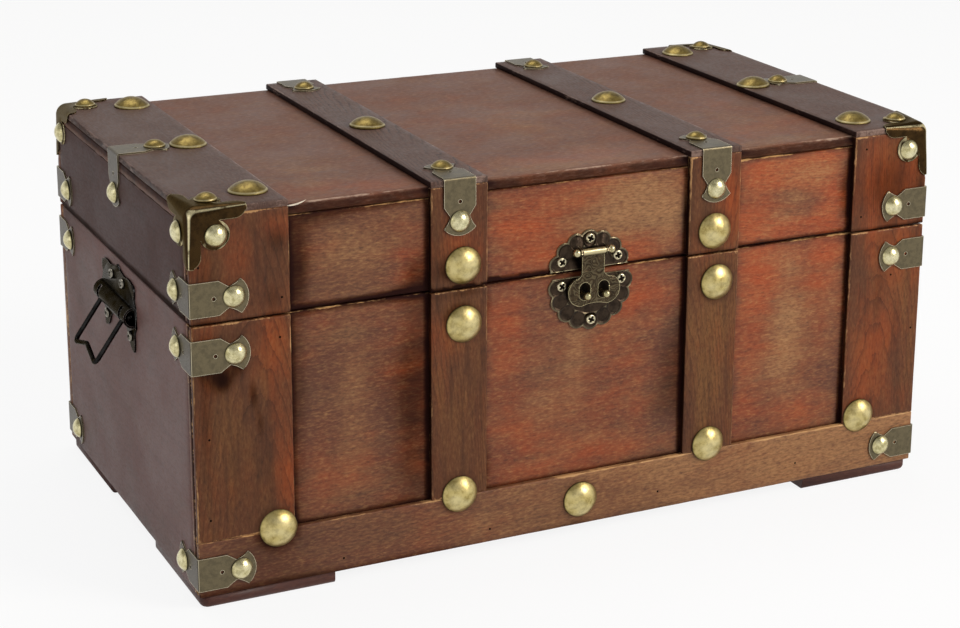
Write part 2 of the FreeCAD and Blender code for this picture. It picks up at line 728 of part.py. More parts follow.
def edge_brackets():
    """Frames of the six brackets over the lid's top edges."""
    half_length, half_depth, top = size("length / 2"), size("depth / 2"), size(TOP)
    frames = []
    for strap in ("left_strap_x", "right_strap_x"):
        frames.append(across_edge((size(strap), -half_depth, top), "top", "front"))
        frames.append(across_edge((size(strap), half_depth, top), "top", "back"))
    frames.append(across_edge((-half_length, size("side_bracket_y"), top), "top", "left"))
    frames.append(across_edge((half_length, size("side_bracket_y"), top), "top", "right"))
    return frames


def cap_tacks():
    """Frames of the small nails on the three faces of each pressed corner."""
    frames = []
    for side, end in CORNERS.values():
        x = f"{side} * (length / 2 - tack_on_cap)"
        y = f"{end} * (depth / 2 - tack_on_cap)"
        z = f"{TOP} - tack_on_cap"
        frames.append(on_face("top", x, y, "sheet"))
        frames.append(on_face("front" if end < 0 else "back", x, z, "sheet"))
        frames.append(on_face("left" if side < 0 else "right", y, z, "sheet"))
    return frames


def both_ends(inset):
    """Two places along the chest's length, each the given distance from its end."""
    return (f"{inset} - length / 2", f"length / 2 - {inset}")


def metal_trim():
    """Pressed corners, brackets and domed nails, on the lower box and on the lid."""
    cap = cap_pattern()
    for name, (side, end) in CORNERS.items():
        copies("corner_cap_" + name, cap, [corner_placement(side, end)])
    bracket = bracket_pattern()
    lid_corners = corner_brackets(f"{SEAM} + lid_bracket_up")
    base_upper = corner_brackets(f"{SEAM} - base_bracket_down")
    base_lower = corner_brackets("foot_height + low_bracket_up")
    over_edges = edge_brackets()
    copies("lid_corner_brackets", bracket, lid_corners)
    copies("lid_edge_brackets", bracket, over_edges)
    copies("base_upper_brackets", bracket, base_upper)
    copies("base_lower_brackets", bracket, base_lower)
    tack = domed_head("tack_pattern", "tack", "tack_dome", "tack_rim")
    lid_tacks = [t for frame in lid_corners + over_edges for t in leg_tacks(frame)]
    base_tacks = [t for frame in base_upper + base_lower for t in leg_tacks(frame)]
    copies("lid_small_studs", tack, lid_tacks + cap_tacks())
    copies("base_small_studs", tack, base_tacks)
    stud = domed_head("stud_pattern", "stud", "stud_dome", "stud_rim")
    middle_straps = ("left_strap_x", "right_strap_x")
    on_straps = ("left_strap_x + lid_stud_off", "right_strap_x")
    on_lid = [on_face("front", x, f"{SEAM} + lid_stud_up") for x in on_straps]
    on_lid += [on_face("top", x, "mid_stud_y") for x in middle_straps + both_ends("mid_stud_in")]
    rows = ("top_stud_back - depth / 2", "depth / 2 - top_stud_back")
    corners = ("top_stud_in - length / 2", "length / 2 - top_stud_in_right")
    on_lid += [on_face("top", x, y) for x in corners for y in rows]
    copies("lid_large_studs", stud, on_lid)
    on_base = []
    ends = ("low_stud_in - length / 2", "length / 2 - low_stud_in_right")
    for side, x, end in zip(("left", "right"), middle_straps, ends):
        on_base.append(on_face("front", f"{x} + base_stud_off", f"{SEAM} - base_stud_down_{side}"))
        on_base += [on_face("front", place, f"foot_height + low_stud_up_{side}") for place in (x, end)]
    on_base.append(on_face("front", "rail_stud_x", "foot_height + rail_height / 2"))
    copies("base_large_studs", stud, on_base)


# ---------------------------------------------------------------- latch

def latch_frame():
    """The latch's frame: on the front panel, at the middle of the seam, Z outward."""
    return on_face("front", "latch_x", SEAM, "-strap")


def in_latch(x, y, z="0"):
    """A frame in the latch's own frame."""
    local = FreeCAD.Placement(vector(size(x), size(y), size(z)), FreeCAD.Rotation())
    return latch_frame().multiply(local)


def rosette_half(label, middle, centre_drop, edge, keep_above):
    """Half of a scalloped rosette: a disc, one petal repeated round it, and a straight cut."""
    body = new_body(label)
    disc = new_sketch(body, "XY_Plane", label + "_disc")
    draw_circle(disc, "0", "0", "rosette - petal")
    pad(body, disc, "sheet")
    petal = new_sketch(body, "XY_Plane", label + "_petal")
    draw_circle(petal, "rosette - petal", "0", "petal")
    one = pad(body, petal, "sheet")
    ring = body.newObject("PartDesign::PolarPattern", label + "_petals")
    ring.Originals = [one]
    ring.Axis = (next(f for f in body.Origin.OriginFeatures if f.Role == "Z_Axis"), [""])
    ring.Angle = 360
    ring.setExpression("Occurrences", formula("petal_count"))
    body.Tip = ring
    doc.recompute()
    cut = new_sketch(body, "XY_Plane", label + "_cut_line")
    line = f"({edge}) + ({centre_drop})"
    far = "rosette + 5"
    if keep_above:
        draw_outline(cut, rectangle(f"-({far})", f"-({far})", far, line))
    else:
        draw_outline(cut, rectangle(f"-({far})", line, far, far))
    pocket(body, cut, "sheet", upward=True)
    body.Placement = in_latch(middle, f"-({centre_drop})")
    return body


def upper_plate():
    """The upper half of the rosette, with the two ears that carry the hasp's pin."""
    body = rosette_half("latch_upper_plate", "0", "upper_centre_drop", "upper_edge_rise", True)
    ear = new_sketch(body, "YZ_Plane", "latch_ear", "hasp_neck / 2 + end_gap")
    axis = "pin_rise + upper_centre_drop"
    low, high = f"{axis} - ear_width / 2", f"{axis} + ear_width / 2"
    draw_outline(ear, [(low, "0"), (high, "0"), (high, "pin_out"), (low, "pin_out")], {2: "ear_width / 2"})
    draw_circle(ear, axis, "pin_out", "latch_pin + running_gap")
    mirror(body, [pad(body, ear, "ear_thickness")], "YZ_Plane")
    return keep(body)


def lower_plate():
    """The lower half of the rosette."""
    return keep(rosette_half(
        "latch_lower_plate", "lower_right", "lower_centre_drop", "-lower_edge_drop", False))


def turned_about_x(label, corners, arcs):
    """A piece turned about its own X axis from a half profile."""
    body = new_body(label)
    profile = new_sketch(body, "XY_Plane", label + "_profile")
    draw_outline(profile, corners, arcs)
    turned = body.newObject("PartDesign::Revolution", label + "_turned")
    turned.Profile = profile
    turned.ReferenceAxis = (profile, ["H_Axis"])
    turned.Angle = 360
    doc.recompute()
    return body


def latch_pin():
    """The hasp's pin, with a ball on each end that bears on its ear."""
    seat = "(hasp_neck / 2 + end_gap + ear_thickness)"
    rest = "sqrt(pin_ball ^ 2 - latch_pin ^ 2 * 2)"
    shoulder = "latch_pin * sqrt(2)"
    tip = f"{seat} + {rest} + pin_ball"
    body = turned_about_x("latch_pin", [
        (f"-({tip})", "0"), (tip, "0"), (seat, shoulder), (seat, "latch_pin"),
        (f"-{seat}", "latch_pin"), (f"-{seat}", shoulder),
    ], {1: "pin_ball", 5: "pin_ball"})
    body.Placement = in_latch("0", "pin_rise", "pin_out")
    return keep(body)


def hasp():
    """The swinging hasp: a knuckle on the pin, a neck, and two lobes with a slot each."""
    body = new_body("hasp")
    face = "pin_out - hasp_knuckle"
    outline = new_sketch(body, "XY_Plane", "hasp_outline", face)
    half = "hasp_neck / 2"
    join_x = "hasp_lobe_x + hasp_lobe * cos(60)"
    join_y = "hasp_lobe * sin(60) - hasp_lobe_drop"
    foot_y = "-(hasp_lobe_drop + hasp_lobe)"
    neck = [(half, "-hasp_shoulder_drop"), (half, "pin_rise")]
    neck += [(f"-{x}", y) for x, y in reversed(neck)]
    right = [(f"{x} + hasp_lean", y) for x, y in (("hasp_lobe_x", foot_y), (join_x, join_y))]
    left = [(f"hasp_lean - ({x})", y) for x, y in ((join_x, join_y), ("hasp_lobe_x", foot_y))]
    draw_outline(outline, right + neck + left, {
        0: "hasp_lobe", 1: "-hasp_shoulder", 5: "-hasp_shoulder", 6: "hasp_lobe", 7: "-hasp_cleft"})
    pad(body, outline, "hasp_sheet")
    slots = new_sketch(body, "XY_Plane", "hasp_slots", face)
    side = "slot_width / 2"
    high, low = "(slot_height - slot_width) / 2 - slot_drop", "(slot_width - slot_height) / 2 - slot_drop"
    for middle in ("hasp_lean + slot_x", "hasp_lean - slot_x"):
        near, wide = f"{middle} - {side}", f"{middle} + {side}"
        draw_outline(slots, [(near, low), (wide, low), (wide, high), (near, high)], {0: side, 2: side})
    pocket(body, slots, "hasp_sheet", upward=True)
    knuckle = new_sketch(body, "YZ_Plane", "hasp_knuckle_end")
    draw_circle(knuckle, "pin_rise", "pin_out", "hasp_knuckle")
    pad(body, knuckle, "hasp_neck", symmetric=True)
    bore = new_sketch(body, "YZ_Plane", "hasp_bore")
    draw_circle(bore, "pin_rise", "pin_out", "latch_pin + running_gap")
    pocket(body, bore, "hasp_neck + 2", symmetric=True)
    body.Placement = latch_frame()
    return keep(body)


def post_pattern():
    """A riveted post with a ball head, standing along Z."""
    body = new_body("post_pattern")
    profile = new_sketch(body, "XZ_Plane", "post_profile")
    neck = "post_out - sheet - sqrt(post_ball ^ 2 - post ^ 2)"
    draw_outline(profile, [("0", "0"), ("post", "0"), ("post", neck), ("0", "post_out - sheet + post_ball")],
                 {2: "post_ball"})
    turned = body.newObject("PartDesign::Revolution", "post_turned")
    turned.Profile = profile
    turned.ReferenceAxis = (profile, ["V_Axis"])
    turned.Angle = 360
    doc.recompute()
    return body


def latch():
    upper_plate()
    lower_plate()
    latch_pin()
    hasp()
    posts = ("lower_right - slot_x", "lower_right + slot_x")
    copies("latch_posts", post_pattern(), [in_latch(x, "-post_drop", "sheet") for x in posts])
    screw = domed_head("screw_pattern", "2 * screw", "screw_dome * 0.7", "screw_dome * 0.3")
    upper = [("-upper_screw_x", "upper_screw_rise"), ("upper_screw_x", "upper_screw_rise"),
             ("0", "upper_top_screw_rise")]
    lower = [("lower_right - lower_screw_x", "-lower_screw_drop"),
             ("lower_right + lower_screw_x", "-lower_screw_drop"),
             ("lower_right", "-lower_end_screw_drop")]
    copies("latch_upper_screws", screw, [in_latch(x, y, "sheet") for x, y in upper])
    copies("latch_lower_screws", screw, [in_latch(x, y, "sheet") for x, y in lower])
    return screw


# ---------------------------------------------------------------- handles

def handle_frame(face):
    """A handle's frame on the left or right board, at the height of its pivot."""
    return on_face(face, "handle_shift", f"{SEAM} - handle_drop")


def handle_plate(label, face):
    """A pressed plate with pointed ends and a barrel in which the bail turns."""
    body = new_body(label)
    outline = new_sketch(body, "XY_Plane", label + "_outline")
    right = [("0", "-5.5"), ("12", "-7"), ("15", "-11"), ("23", "-17.5"), ("24", "-9"), ("27", "-5"),
             ("27", "5"), ("25", "9"), ("25", "15"), ("13", "16"), ("0", "19")]
    left = [(f"-({x})", y) for x, y in reversed(right[1:-1])]
    draw_outline(outline, right + left, {
        0: "-40", 1: "5", 2: "10", 3: "12", 4: "-8", 6: "-6", 7: "6", 8: "20", 9: "-24",
        10: "-24", 11: "20", 12: "6", 13: "-6", 15: "-8", 16: "12", 17: "10", 18: "5", 19: "-40"})
    pad(body, outline, "plate_sheet")
    barrel = new_sketch(body, "YZ_Plane", label + "_barrel")
    draw_outline(barrel, [("-barrel", "0"), ("barrel", "0"), ("barrel", "plate_sheet"),
                          ("-barrel", "plate_sheet")], {2: "barrel"})
    pad(body, barrel, "barrel_length", symmetric=True)
    tunnel = new_sketch(body, "YZ_Plane", label + "_tunnel")
    hollow = "barrel - barrel_wall"
    draw_outline(tunnel, [(f"-({hollow})", "plate_sheet"), (hollow, "plate_sheet")], {1: hollow})
    pocket(body, tunnel, "barrel_length + 2", symmetric=True)
    slot = new_sketch(body, "YZ_Plane", label + "_slot", f"(bail_width - {BAIL_SLOT}) / 2")
    down_y, down_z = "-cos(bail_rest)", "sin(bail_rest)"
    reach, low = "(3 * barrel)", f"{BAIL_OUT} - (bail_wire + running_gap) / cos(bail_rest)"
    high = f"{low} + {down_z} * {reach}"
    draw_outline(slot, [
        ("0", low), (f"-({down_y}) * {reach}", high), (f"-({down_y}) * {reach}", f"2 * {reach}"),
        (f"{down_y} * {reach}", f"2 * {reach}"), (f"{down_y} * {reach}", high),
    ])
    mirror(body, [pocket(body, slot, BAIL_SLOT, upward=True)], "YZ_Plane")
    body.Placement = handle_frame(face)
    return keep(body)


def bent_path(points, radii):
    """A wire through points whose bends are arcs that touch both runs."""
    edges, last = [], points[0]
    for before, at, after, radius in zip(points, points[1:], points[2:], radii):
        back, on = (before - at).normalize(), (after - at).normalize()
        half = math.acos(max(-1, min(1, back.dot(on)))) / 2
        reach = radius / math.tan(half)
        start, finish = at + back * reach, at + on * reach
        centre = at + (back + on).normalize() * (radius / math.sin(half))
        middle = centre + (at - centre).normalize() * radius
        edges.append(Part.LineSegment(last, start).toShape())
        edges.append(Part.Arc(start, middle, finish).toShape())
        last = finish
    edges.append(Part.LineSegment(last, points[-1]).toShape())
    return Part.Wire(edges)


def bail(label, face):
    """The wire bail: ends turned outward into the barrel, two legs and a notched grip."""
    half, end, down = size("bail_width / 2"), size("bail_end"), -size("bail_length")
    notch_x, notch_y = size("bail_notch_x"), down + size("bail_notch")
    points = [vector(-end, 0, 0), vector(-half, 0, 0), vector(-half, down, 0), vector(notch_x, notch_y, 0),
              vector(half, down, 0), vector(half, 0, 0), vector(end, 0, 0)]
    bend = size("bail_bend")
    path = doc.addObject("Part::Feature", label + "_path")
    path.Shape = bent_path(points, [bend] * 5)
    ring = doc.addObject("Part::Circle", label + "_ring")
    ring.setExpression("Radius", formula("bail_wire"))
    ring.Placement = FreeCAD.Placement(points[0], FreeCAD.Rotation(vector(0, 1, 0), 90))
    wire = doc.addObject("Part::Sweep", label)
    wire.Label = label
    wire.Sections = [ring]
    wire.Spine = (path, [f"Edge{i + 1}" for i in range(len(path.Shape.Edges))])
    wire.Solid = True
    wire.Frenet = False
    out = FreeCAD.Placement(vector(0, 0, size(BAIL_OUT)),
                            FreeCAD.Rotation(vector(1, 0, 0), -size("bail_rest")))
    wire.Placement = handle_frame(face).multiply(out)
    doc.recompute()
    return keep(wire)


def handles(screw):
    spots = []
    for face in ("left", "right"):
        handle_plate("handle_plate_" + face, face)
        bail("handle_bail_" + face, face)
        for side in (-1, 1):
            for x, y in (("handle_screw_in", "handle_screw_up"), ("handle_screw_out", "-handle_screw_down")):
                local = FreeCAD.Placement(vector(side * size(x), size(y), size("plate_sheet")),
                                          FreeCAD.Rotation())
                spots.append(handle_frame(face).multiply(local))
    copies("handle_screws", screw, spots)


# ---------------------------------------------------------------- hinges

def hinge_frame(side):
    """A hinge's frame on the back, at the middle of the seam, Z outward."""
    return on_face("back", f"{side} * hinge_x", SEAM)


def hinge_leaf(label, side, of_lid):
    """A leaf on the back, with one knuckle on the lid and two on the lower box."""
    body = new_body(label)
    up = "" if of_lid else "-"
    tab = "hinge_tab / 2" if of_lid else "(hinge_tab / 2 + end_gap)"
    half, leaf, clear = "hinge_width / 2", f"{up}hinge_leaf", f"{up}(hinge_knuckle + 0.5)"
    edge = f"{up}lid_gap / 2"
    plan = new_sketch(body, "XY_Plane", label + "_plan")
    if of_lid:
        draw_outline(plan, [(f"-{half}", clear), (f"-{tab}", clear), (f"-{tab}", edge), (tab, edge),
                            (tab, clear), (half, clear), (half, leaf), (f"-{half}", leaf)])
    else:
        draw_outline(plan, [(f"-{half}", leaf), (half, leaf), (half, edge), (tab, edge), (tab, clear),
                            (f"-{tab}", clear), (f"-{tab}", edge), (f"-{half}", edge)])
    pad(body, plan, "hinge_sheet")
    if of_lid:
        knuckle = new_sketch(body, "YZ_Plane", label + "_knuckle")
        draw_circle(knuckle, "0", HINGE_OUT, "hinge_knuckle")
        pad(body, knuckle, "hinge_tab", symmetric=True)
    else:
        knuckle = new_sketch(body, "YZ_Plane", label + "_knuckle", tab)
        draw_circle(knuckle, "0", HINGE_OUT, "hinge_knuckle")
        mirror(body, [pad(body, knuckle, f"{half} - {tab}")], "YZ_Plane")
    bore = new_sketch(body, "YZ_Plane", label + "_bore")
    draw_circle(bore, "0", HINGE_OUT, "hinge_pin + running_gap")
    pocket(body, bore, "hinge_width + 2", symmetric=True)
    body.Placement = hinge_frame(side)
    return keep(body)


def hinges():
    for name, side in (("left", -1), ("right", 1)):
        hinge_leaf("hinge_base_leaf_" + name, side, False)
        hinge_leaf("hinge_lid_leaf_" + name, side, True)
    half, head = "hinge_width / 2", "(hinge_head * 0.6)"
    crown = f"(hinge_head ^ 2 + {head} ^ 2) / (2 * {head})"
    pin = turned_about_x("hinge_pin_pattern", [
        (f"-({half} + {head})", "0"), (f"{half} + {head}", "0"), (half, "hinge_head"), (half, "hinge_pin"),
        (f"-{half}", "hinge_pin"), (f"-{half}", "hinge_head"),
    ], {1: crown, 5: crown})
    out = FreeCAD.Placement(vector(0, 0, size(HINGE_OUT)), FreeCAD.Rotation())
    copies("hinge_pins", pin, [hinge_frame(side).multiply(out) for side in (-1, 1)])
    screw = domed_head("hinge_screw_pattern", "2 * hinge_screw", "hinge_screw / 2", "0.3")
    for name, direction in (("base", "-"), ("lid", "")):
        spots = []
        for side in (-1, 1):
            for across in (-1, 1):
                local = vector(across * size("hinge_screw_x"), size(f"{direction}hinge_screw_y"),
                               size("hinge_sheet"))
                spots.append(hinge_frame(side).multiply(FreeCAD.Placement(local, FreeCAD.Rotation())))
        copies(f"hinge_{name}_screws", screw, spots)


# ---------------------------------------------------------------- the whole chest

def build():
    base_box()
    for name, (side, end) in CORNERS.items():
        foot("foot_" + name, side, end)
    lid_box(wood_rounding())
    metal_trim()
    handles(latch())
    hinges()
    doc.recompute()


def check_and_write():
    """Refuse a failed feature or a broken solid, then write one file per sub-part."""
    for item in doc.Objects:
        if "Invalid" in item.State or "Error" in item.State:
            raise RuntimeError(f"{item.Name} did not build: {item.State}")
    for piece in PARTS:
        if piece.Shape.isNull() or not piece.Shape.isValid() or not piece.Shape.Solids:
            raise RuntimeError(f"{piece.Label} has no valid solid")
    os.makedirs("parts", exist_ok=True)
    for piece in PARTS:
        piece.Shape.exportStep(f"parts/{piece.Label}.step")
    print(len(PARTS), "sub-parts,", sum(len(p.Shape.Solids) for p in PARTS), "solids")


build()
check_and_write()
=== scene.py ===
# %% [markdown]
# # A small sea chest
#
# The real thing is a stained softwood box, 380 mm long, with a flat hinged lid. Thin wooden
# straps run over the lid and down the front, pressed brass corners and bent brackets hold the
# edges, domed nails hold the brackets, and a split rosette latch closes the front. Each cell
# below makes one kind of piece the way its maker would think of it: what it is made of, how
# its surface was worked, and where years of handling would show.
#
# The construction model gives every size, so the first step is to load it. Everything is in
# metres, X to the chest's right, -Y to the front and Z up.

import json
import math
from functools import partial

import bpy
import bmesh
import numpy as np
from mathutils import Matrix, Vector

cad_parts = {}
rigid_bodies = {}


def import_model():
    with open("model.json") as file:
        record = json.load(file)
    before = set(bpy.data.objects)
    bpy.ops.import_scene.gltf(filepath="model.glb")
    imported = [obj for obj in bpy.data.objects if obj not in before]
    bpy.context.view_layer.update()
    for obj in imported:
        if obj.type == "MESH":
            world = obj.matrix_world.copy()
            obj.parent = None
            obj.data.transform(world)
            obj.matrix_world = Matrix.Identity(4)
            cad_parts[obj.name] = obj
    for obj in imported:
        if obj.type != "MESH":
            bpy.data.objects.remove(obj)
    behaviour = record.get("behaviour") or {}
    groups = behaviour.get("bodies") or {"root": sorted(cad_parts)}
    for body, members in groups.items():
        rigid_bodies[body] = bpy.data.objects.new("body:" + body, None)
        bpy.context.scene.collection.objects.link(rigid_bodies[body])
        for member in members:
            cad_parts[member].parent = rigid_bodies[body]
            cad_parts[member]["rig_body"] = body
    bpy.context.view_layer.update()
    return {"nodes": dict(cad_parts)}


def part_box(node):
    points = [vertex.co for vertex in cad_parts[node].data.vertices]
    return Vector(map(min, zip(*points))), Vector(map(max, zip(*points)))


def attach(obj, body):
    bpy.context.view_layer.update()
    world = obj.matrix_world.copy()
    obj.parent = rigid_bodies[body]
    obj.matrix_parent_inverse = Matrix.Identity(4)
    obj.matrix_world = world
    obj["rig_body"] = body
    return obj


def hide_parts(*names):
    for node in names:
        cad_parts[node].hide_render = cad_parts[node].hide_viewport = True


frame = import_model()
MM = 0.001
print("nodes in the frame:", len(frame["nodes"]))


# %% [markdown]
# ## Colours and shader nodes
#
# Every colour is written as the hex value that one would read off a screen. Shaders want
# linear light, so one function turns hex to linear. A second small function adds a shader
# node: it sets the node's properties, fills its sockets with numbers, colours or links, and
# gives back its outputs, which the next node takes in turn. The few settings that come up in
# every recipe have a name each.

# %% Colours and nodes
def linear(code):
    """An sRGB hex colour as linear light: x / 12.92 when dark, else ((x + .055) / 1.055) ^ 2.4."""
    srgb = np.array([int(code[i:i + 2], 16) for i in (1, 3, 5)]) / 255
    light = np.where(srgb <= 0.04045, srgb / 12.92, ((srgb + 0.055) / 1.055) ** 2.4)
    return (*light.tolist(), 1.0)


def add(tree, kind, *parts, named=None, **settings):
    """Add a shader node and give its outputs.

    parts fill its first sockets in order, named those with these names or numbers: another
    node's output is linked, a hex colour becomes linear light, and a number is set as it is.
    settings are the node's own properties.
    """
    node = tree.nodes.new("ShaderNode" + kind)
    for name, value in settings.items():
        setattr(node, name, value)
    for socket, value in [*enumerate(parts), *(named or {}).items()]:
        if isinstance(value, bpy.types.NodeSocket):
            tree.links.new(value, node.inputs[socket])
        else:
            node.inputs[socket].default_value = linear(value) if isinstance(value, str) else value
    return node.outputs


PLUS, MINUS, TIMES, LARGER = [{"operation": name}
                              for name in ("ADD", "SUBTRACT", "MULTIPLY", "MAXIMUM")]
EASE = {"interpolation_type": "SMOOTHSTEP"}
print("the front's red in linear light:", linear("#A1471E"))


# %% [markdown]
# ## Camera, light and floor
#
# The camera stands about a metre in front of the chest and to its left, a little over its lid,
# with a long lens. Such a box is often set on a white sweep: here the sweep is a pale floor
# that shows white to the camera and to the brass, and still takes the chest's shadow.

# %% The camera
bpy.context.scene.view_settings.view_transform = "Standard"


def put(name, data):
    """A new object with this data, in the scene."""
    thing = bpy.data.objects.new(name, data)
    bpy.context.scene.collection.objects.link(thing)
    return thing


def place_camera():
    """A 36 mm sensor behind an 83 mm lens, shifted so that the chest sits in the frame's middle."""
    data = bpy.data.cameras.new("camera")
    data.sensor_width = 36
    data.lens = 83.2
    data.shift_x, data.shift_y = -0.0783, -0.1130
    camera = put("camera", data)
    camera.location = (-0.4586, -0.9724, 0.4431)
    camera.rotation_euler = [math.radians(a) for a in (74.088, -0.701, -26.845)]
    bpy.context.scene.camera = camera


place_camera()
print("lens:", round(bpy.context.scene.camera.data.lens, 1), "mm")


# %% The lamps
def softbox(name, place, target, width, height, power, colour):
    """A rectangular lamp at place that faces target; power in watts."""
    data = bpy.data.lights.new(name, "AREA")
    data.shape = "RECTANGLE"
    data.size, data.size_y, data.energy = width, height, power
    data.color = linear(colour)[:3]
    lamp = put(name, data)
    lamp.location = place
    direction = Vector(target) - Vector(place)
    lamp.rotation_euler = direction.to_track_quat("-Z", "Y").to_euler()


softbox("key_softbox", (1.3, -1.5, 1.25), (0, 0, 0.1), 0.9, 0.9, 34, "#FFF8F0")
softbox("top_softbox", (-0.1, 0.5, 1.7), (0, 0, 0.15), 1.2, 0.9, 10, "#FFFFFF")
softbox("left_strip", (-1.7, -0.5, 0.7), (0, 0, 0.1), 0.4, 1.0, 1.5, "#F2F5FF")
print("lamps:", [lamp.name for lamp in bpy.data.lights])


# %% The white sweep
def looked_at(node):
    """1 for a ray from the camera or off a shiny or clear surface, else 0: the largest of three."""
    path = node("LightPath")
    seen = node("Math", path["Is Camera Ray"], path["Is Glossy Ray"], **LARGER)[0]
    return node("Math", seen, path["Is Transmission Ray"], **LARGER)[0]


def white_world(strength, ceiling):
    """A white sweep under a dim ceiling.

    As a lamp it is even and dim. Looked at, it is full white round the horizon and falls to
    the ceiling's grey overhead, so domed metal has something dark to reflect.
    """
    world = bpy.data.worlds.new("white_room")
    world.use_nodes = True
    world.node_tree.nodes.clear()
    node = partial(add, world.node_tree)
    height = node("SeparateXYZ", node("TexCoord")["Generated"])[2]
    room = node("MapRange", height, 0.10, 0.65, 1.0, ceiling, **EASE)[0]
    level = node("Mix", looked_at(node), named={"A": strength, "B": room})[0]
    node("OutputWorld", node("Background", "#FFFFFF", level)[0])
    bpy.context.scene.world = world


def new_material(name):
    """An empty material, and the function that adds nodes to it."""
    material = bpy.data.materials.new(name)
    material.use_nodes = True
    material.node_tree.nodes.clear()
    return material, partial(add, material.node_tree)


def pale_floor():
    """A floor of matt white card, seen nearly white, with the chest's shadow kept on it."""
    material, node = new_material("matt_white_card")
    card, glow = node("BsdfDiffuse", "#F4F4F4")[0], node("Emission", "#FFFFFF", 1.0)[0]
    share = node("Math", looked_at(node), 0.88, **TIMES)[0]
    node("OutputMaterial", node("MixShader", share, card, glow)[0])
    mesh = bpy.data.meshes.new("floor")
    reach = 14
    corners = [(-reach, -reach, 0), (reach, -reach, 0), (reach, reach, 0), (-reach, reach, 0)]
    mesh.from_pydata(corners, [], [(0, 1, 2, 3)])
    mesh.materials.append(material)
    floor = put("floor", mesh)


white_world(0.32, 0.40)
pale_floor()
print("camera, lamps and floor are set")


# %% [markdown]
# ## Sawn boards with worn edges
#
# A board is a box, but nobody's eye believes a box with razor edges: on the real chest each
# edge was sanded round and then rubbed pale by hands. So a board is worked out on six grids
# whose lines crowd together near the edges. Its points are pulled onto a rounded box: every
# point is held inside a smaller box and then pushed back out by the radius, in the direction
# it was clipped. The same arrays give each point's distance from the nearest edge, and the
# stain's recipe reads that later to darken or wear the wood there.

# %% Smooth waviness
def waves(points, wavelength, seed):
    """A smooth field about -1 to 1: 1.8 times the mean of nine sine waves in random directions."""
    dice = np.random.default_rng(seed)
    turn = dice.normal(size=(9, 3))
    length = np.linalg.norm(turn, axis=1)
    turn *= (2 * math.pi / wavelength / length * dice.uniform(0.6, 1.6, 9))[:, None]
    return np.sin(points @ turn.T + dice.uniform(0, 2 * math.pi, 9)).mean(1) * 1.8


print("waviness at the middle:", waves(np.zeros((1, 3)), 0.1, seed=1).round(2))


# %% A board on six grids
def ruler(low, high, radius, step):
    """Even places along one side of a board, with three lines inside each rounded edge."""
    crowd = np.array([0, 0.586, 1]) * radius
    count = max(2, int(round((high - low - 2 * radius) / step)) + 1)
    middle = np.linspace(low + radius, high - radius, count)
    return np.unique(np.concatenate([low + crowd, middle, high - crowd]).round(9))


def six_grids(low, high, radius, step):
    """All corners and faces of a box, as six grids of points whose borders coincide."""
    rulers = [ruler(low[i], high[i], radius, step) for i in range(3)]
    points, faces, start = [], [], 0
    for axis in range(3):
        u, v = (axis + 1) % 3, (axis + 2) % 3
        grid_u, grid_v = np.meshgrid(rulers[u], rulers[v], indexing="ij")
        for value, outward in ((low[axis], False), (high[axis], True)):
            grid = np.empty(grid_u.shape + (3,))
            grid[..., axis], grid[..., u], grid[..., v] = value, grid_u, grid_v
            number = start + np.arange(grid_u.size).reshape(grid_u.shape)
            quad = np.stack([number[:-1, :-1], number[1:, :-1],
                             number[1:, 1:], number[:-1, 1:]], -1).reshape(-1, 4)
            faces.append(quad if outward else quad[:, ::-1])
            points.append(grid.reshape(-1, 3))
            start += grid_u.size
    return np.concatenate(points), np.concatenate(faces)


def rounded(points, low, high, radius):
    """Pull points onto a rounded box: clip them to the inner box, then push out by the radius.

    radius is one number, or a column with one for each point where some edges stay sharper.
    """
    inner = np.clip(points, low + radius, high - radius)
    away = points - inner
    length = np.linalg.norm(away, axis=1, keepdims=True)
    normal = away / np.maximum(length, 1e-9)
    return inner + normal * radius, normal


def from_edge(points, low, high):
    """Distance of each surface point from the box's nearest edge: its second smallest face gap."""
    gap = np.minimum(points - low, high - points)
    return np.sort(gap, axis=1)[:, 1]


print("lines across a 20 mm side:", len(ruler(0, 20 * MM, 1 * MM, 5 * MM)))


# %% Meshes from arrays
def merge(mesh, distance):
    """Join the points of a mesh that lie closer together than the distance."""
    shape = bmesh.new()
    shape.from_mesh(mesh)
    bmesh.ops.remove_doubles(shape, verts=shape.verts, dist=distance)
    shape.to_mesh(mesh)
    shape.free()


def store(mesh, fields):
    """Store painted fields on a mesh: one number for each point, or one for all of them."""
    for name, numbers in fields.items():
        values = np.full(len(mesh.vertices), numbers, dtype=np.float32)
        mesh.attributes.new(name, "FLOAT", "POINT").data.foreach_set("value", values)


def make_piece(name, points, faces, fields, material, body, nodes, slot):
    """Put arrays into a mesh, merge the shared borders, and hand the piece to its body."""
    mesh = bpy.data.meshes.new(name)
    mesh.from_pydata(points, [], faces)
    store(mesh, fields)
    merge(mesh, 2e-6)
    mesh.polygons.foreach_set("use_smooth", [True] * len(mesh.polygons))
    mesh.materials.append(material)
    piece = put(name, mesh)
    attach(piece, body)
    if nodes:
        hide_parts(*nodes)
    return piece


def piece_box(node):
    """A node's lowest and highest corner as arrays."""
    low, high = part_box(node)
    return np.array(low), np.array(high)


# %% Room under the pressed corners
# The wooden box's corners, and how the pressed corners are folded: their reach from the chest's
# corner, the radius of the ball there and the radius of the fold at a tongue's tip.
chest_low = np.array([-0.190, -0.107, 0.006])
chest_high = np.array([0.190, 0.107, 0.184])
CAP_REACH, CAP_BALL, CAP_FOLD = 28 * MM, 5.25 * MM, 1.25 * MM


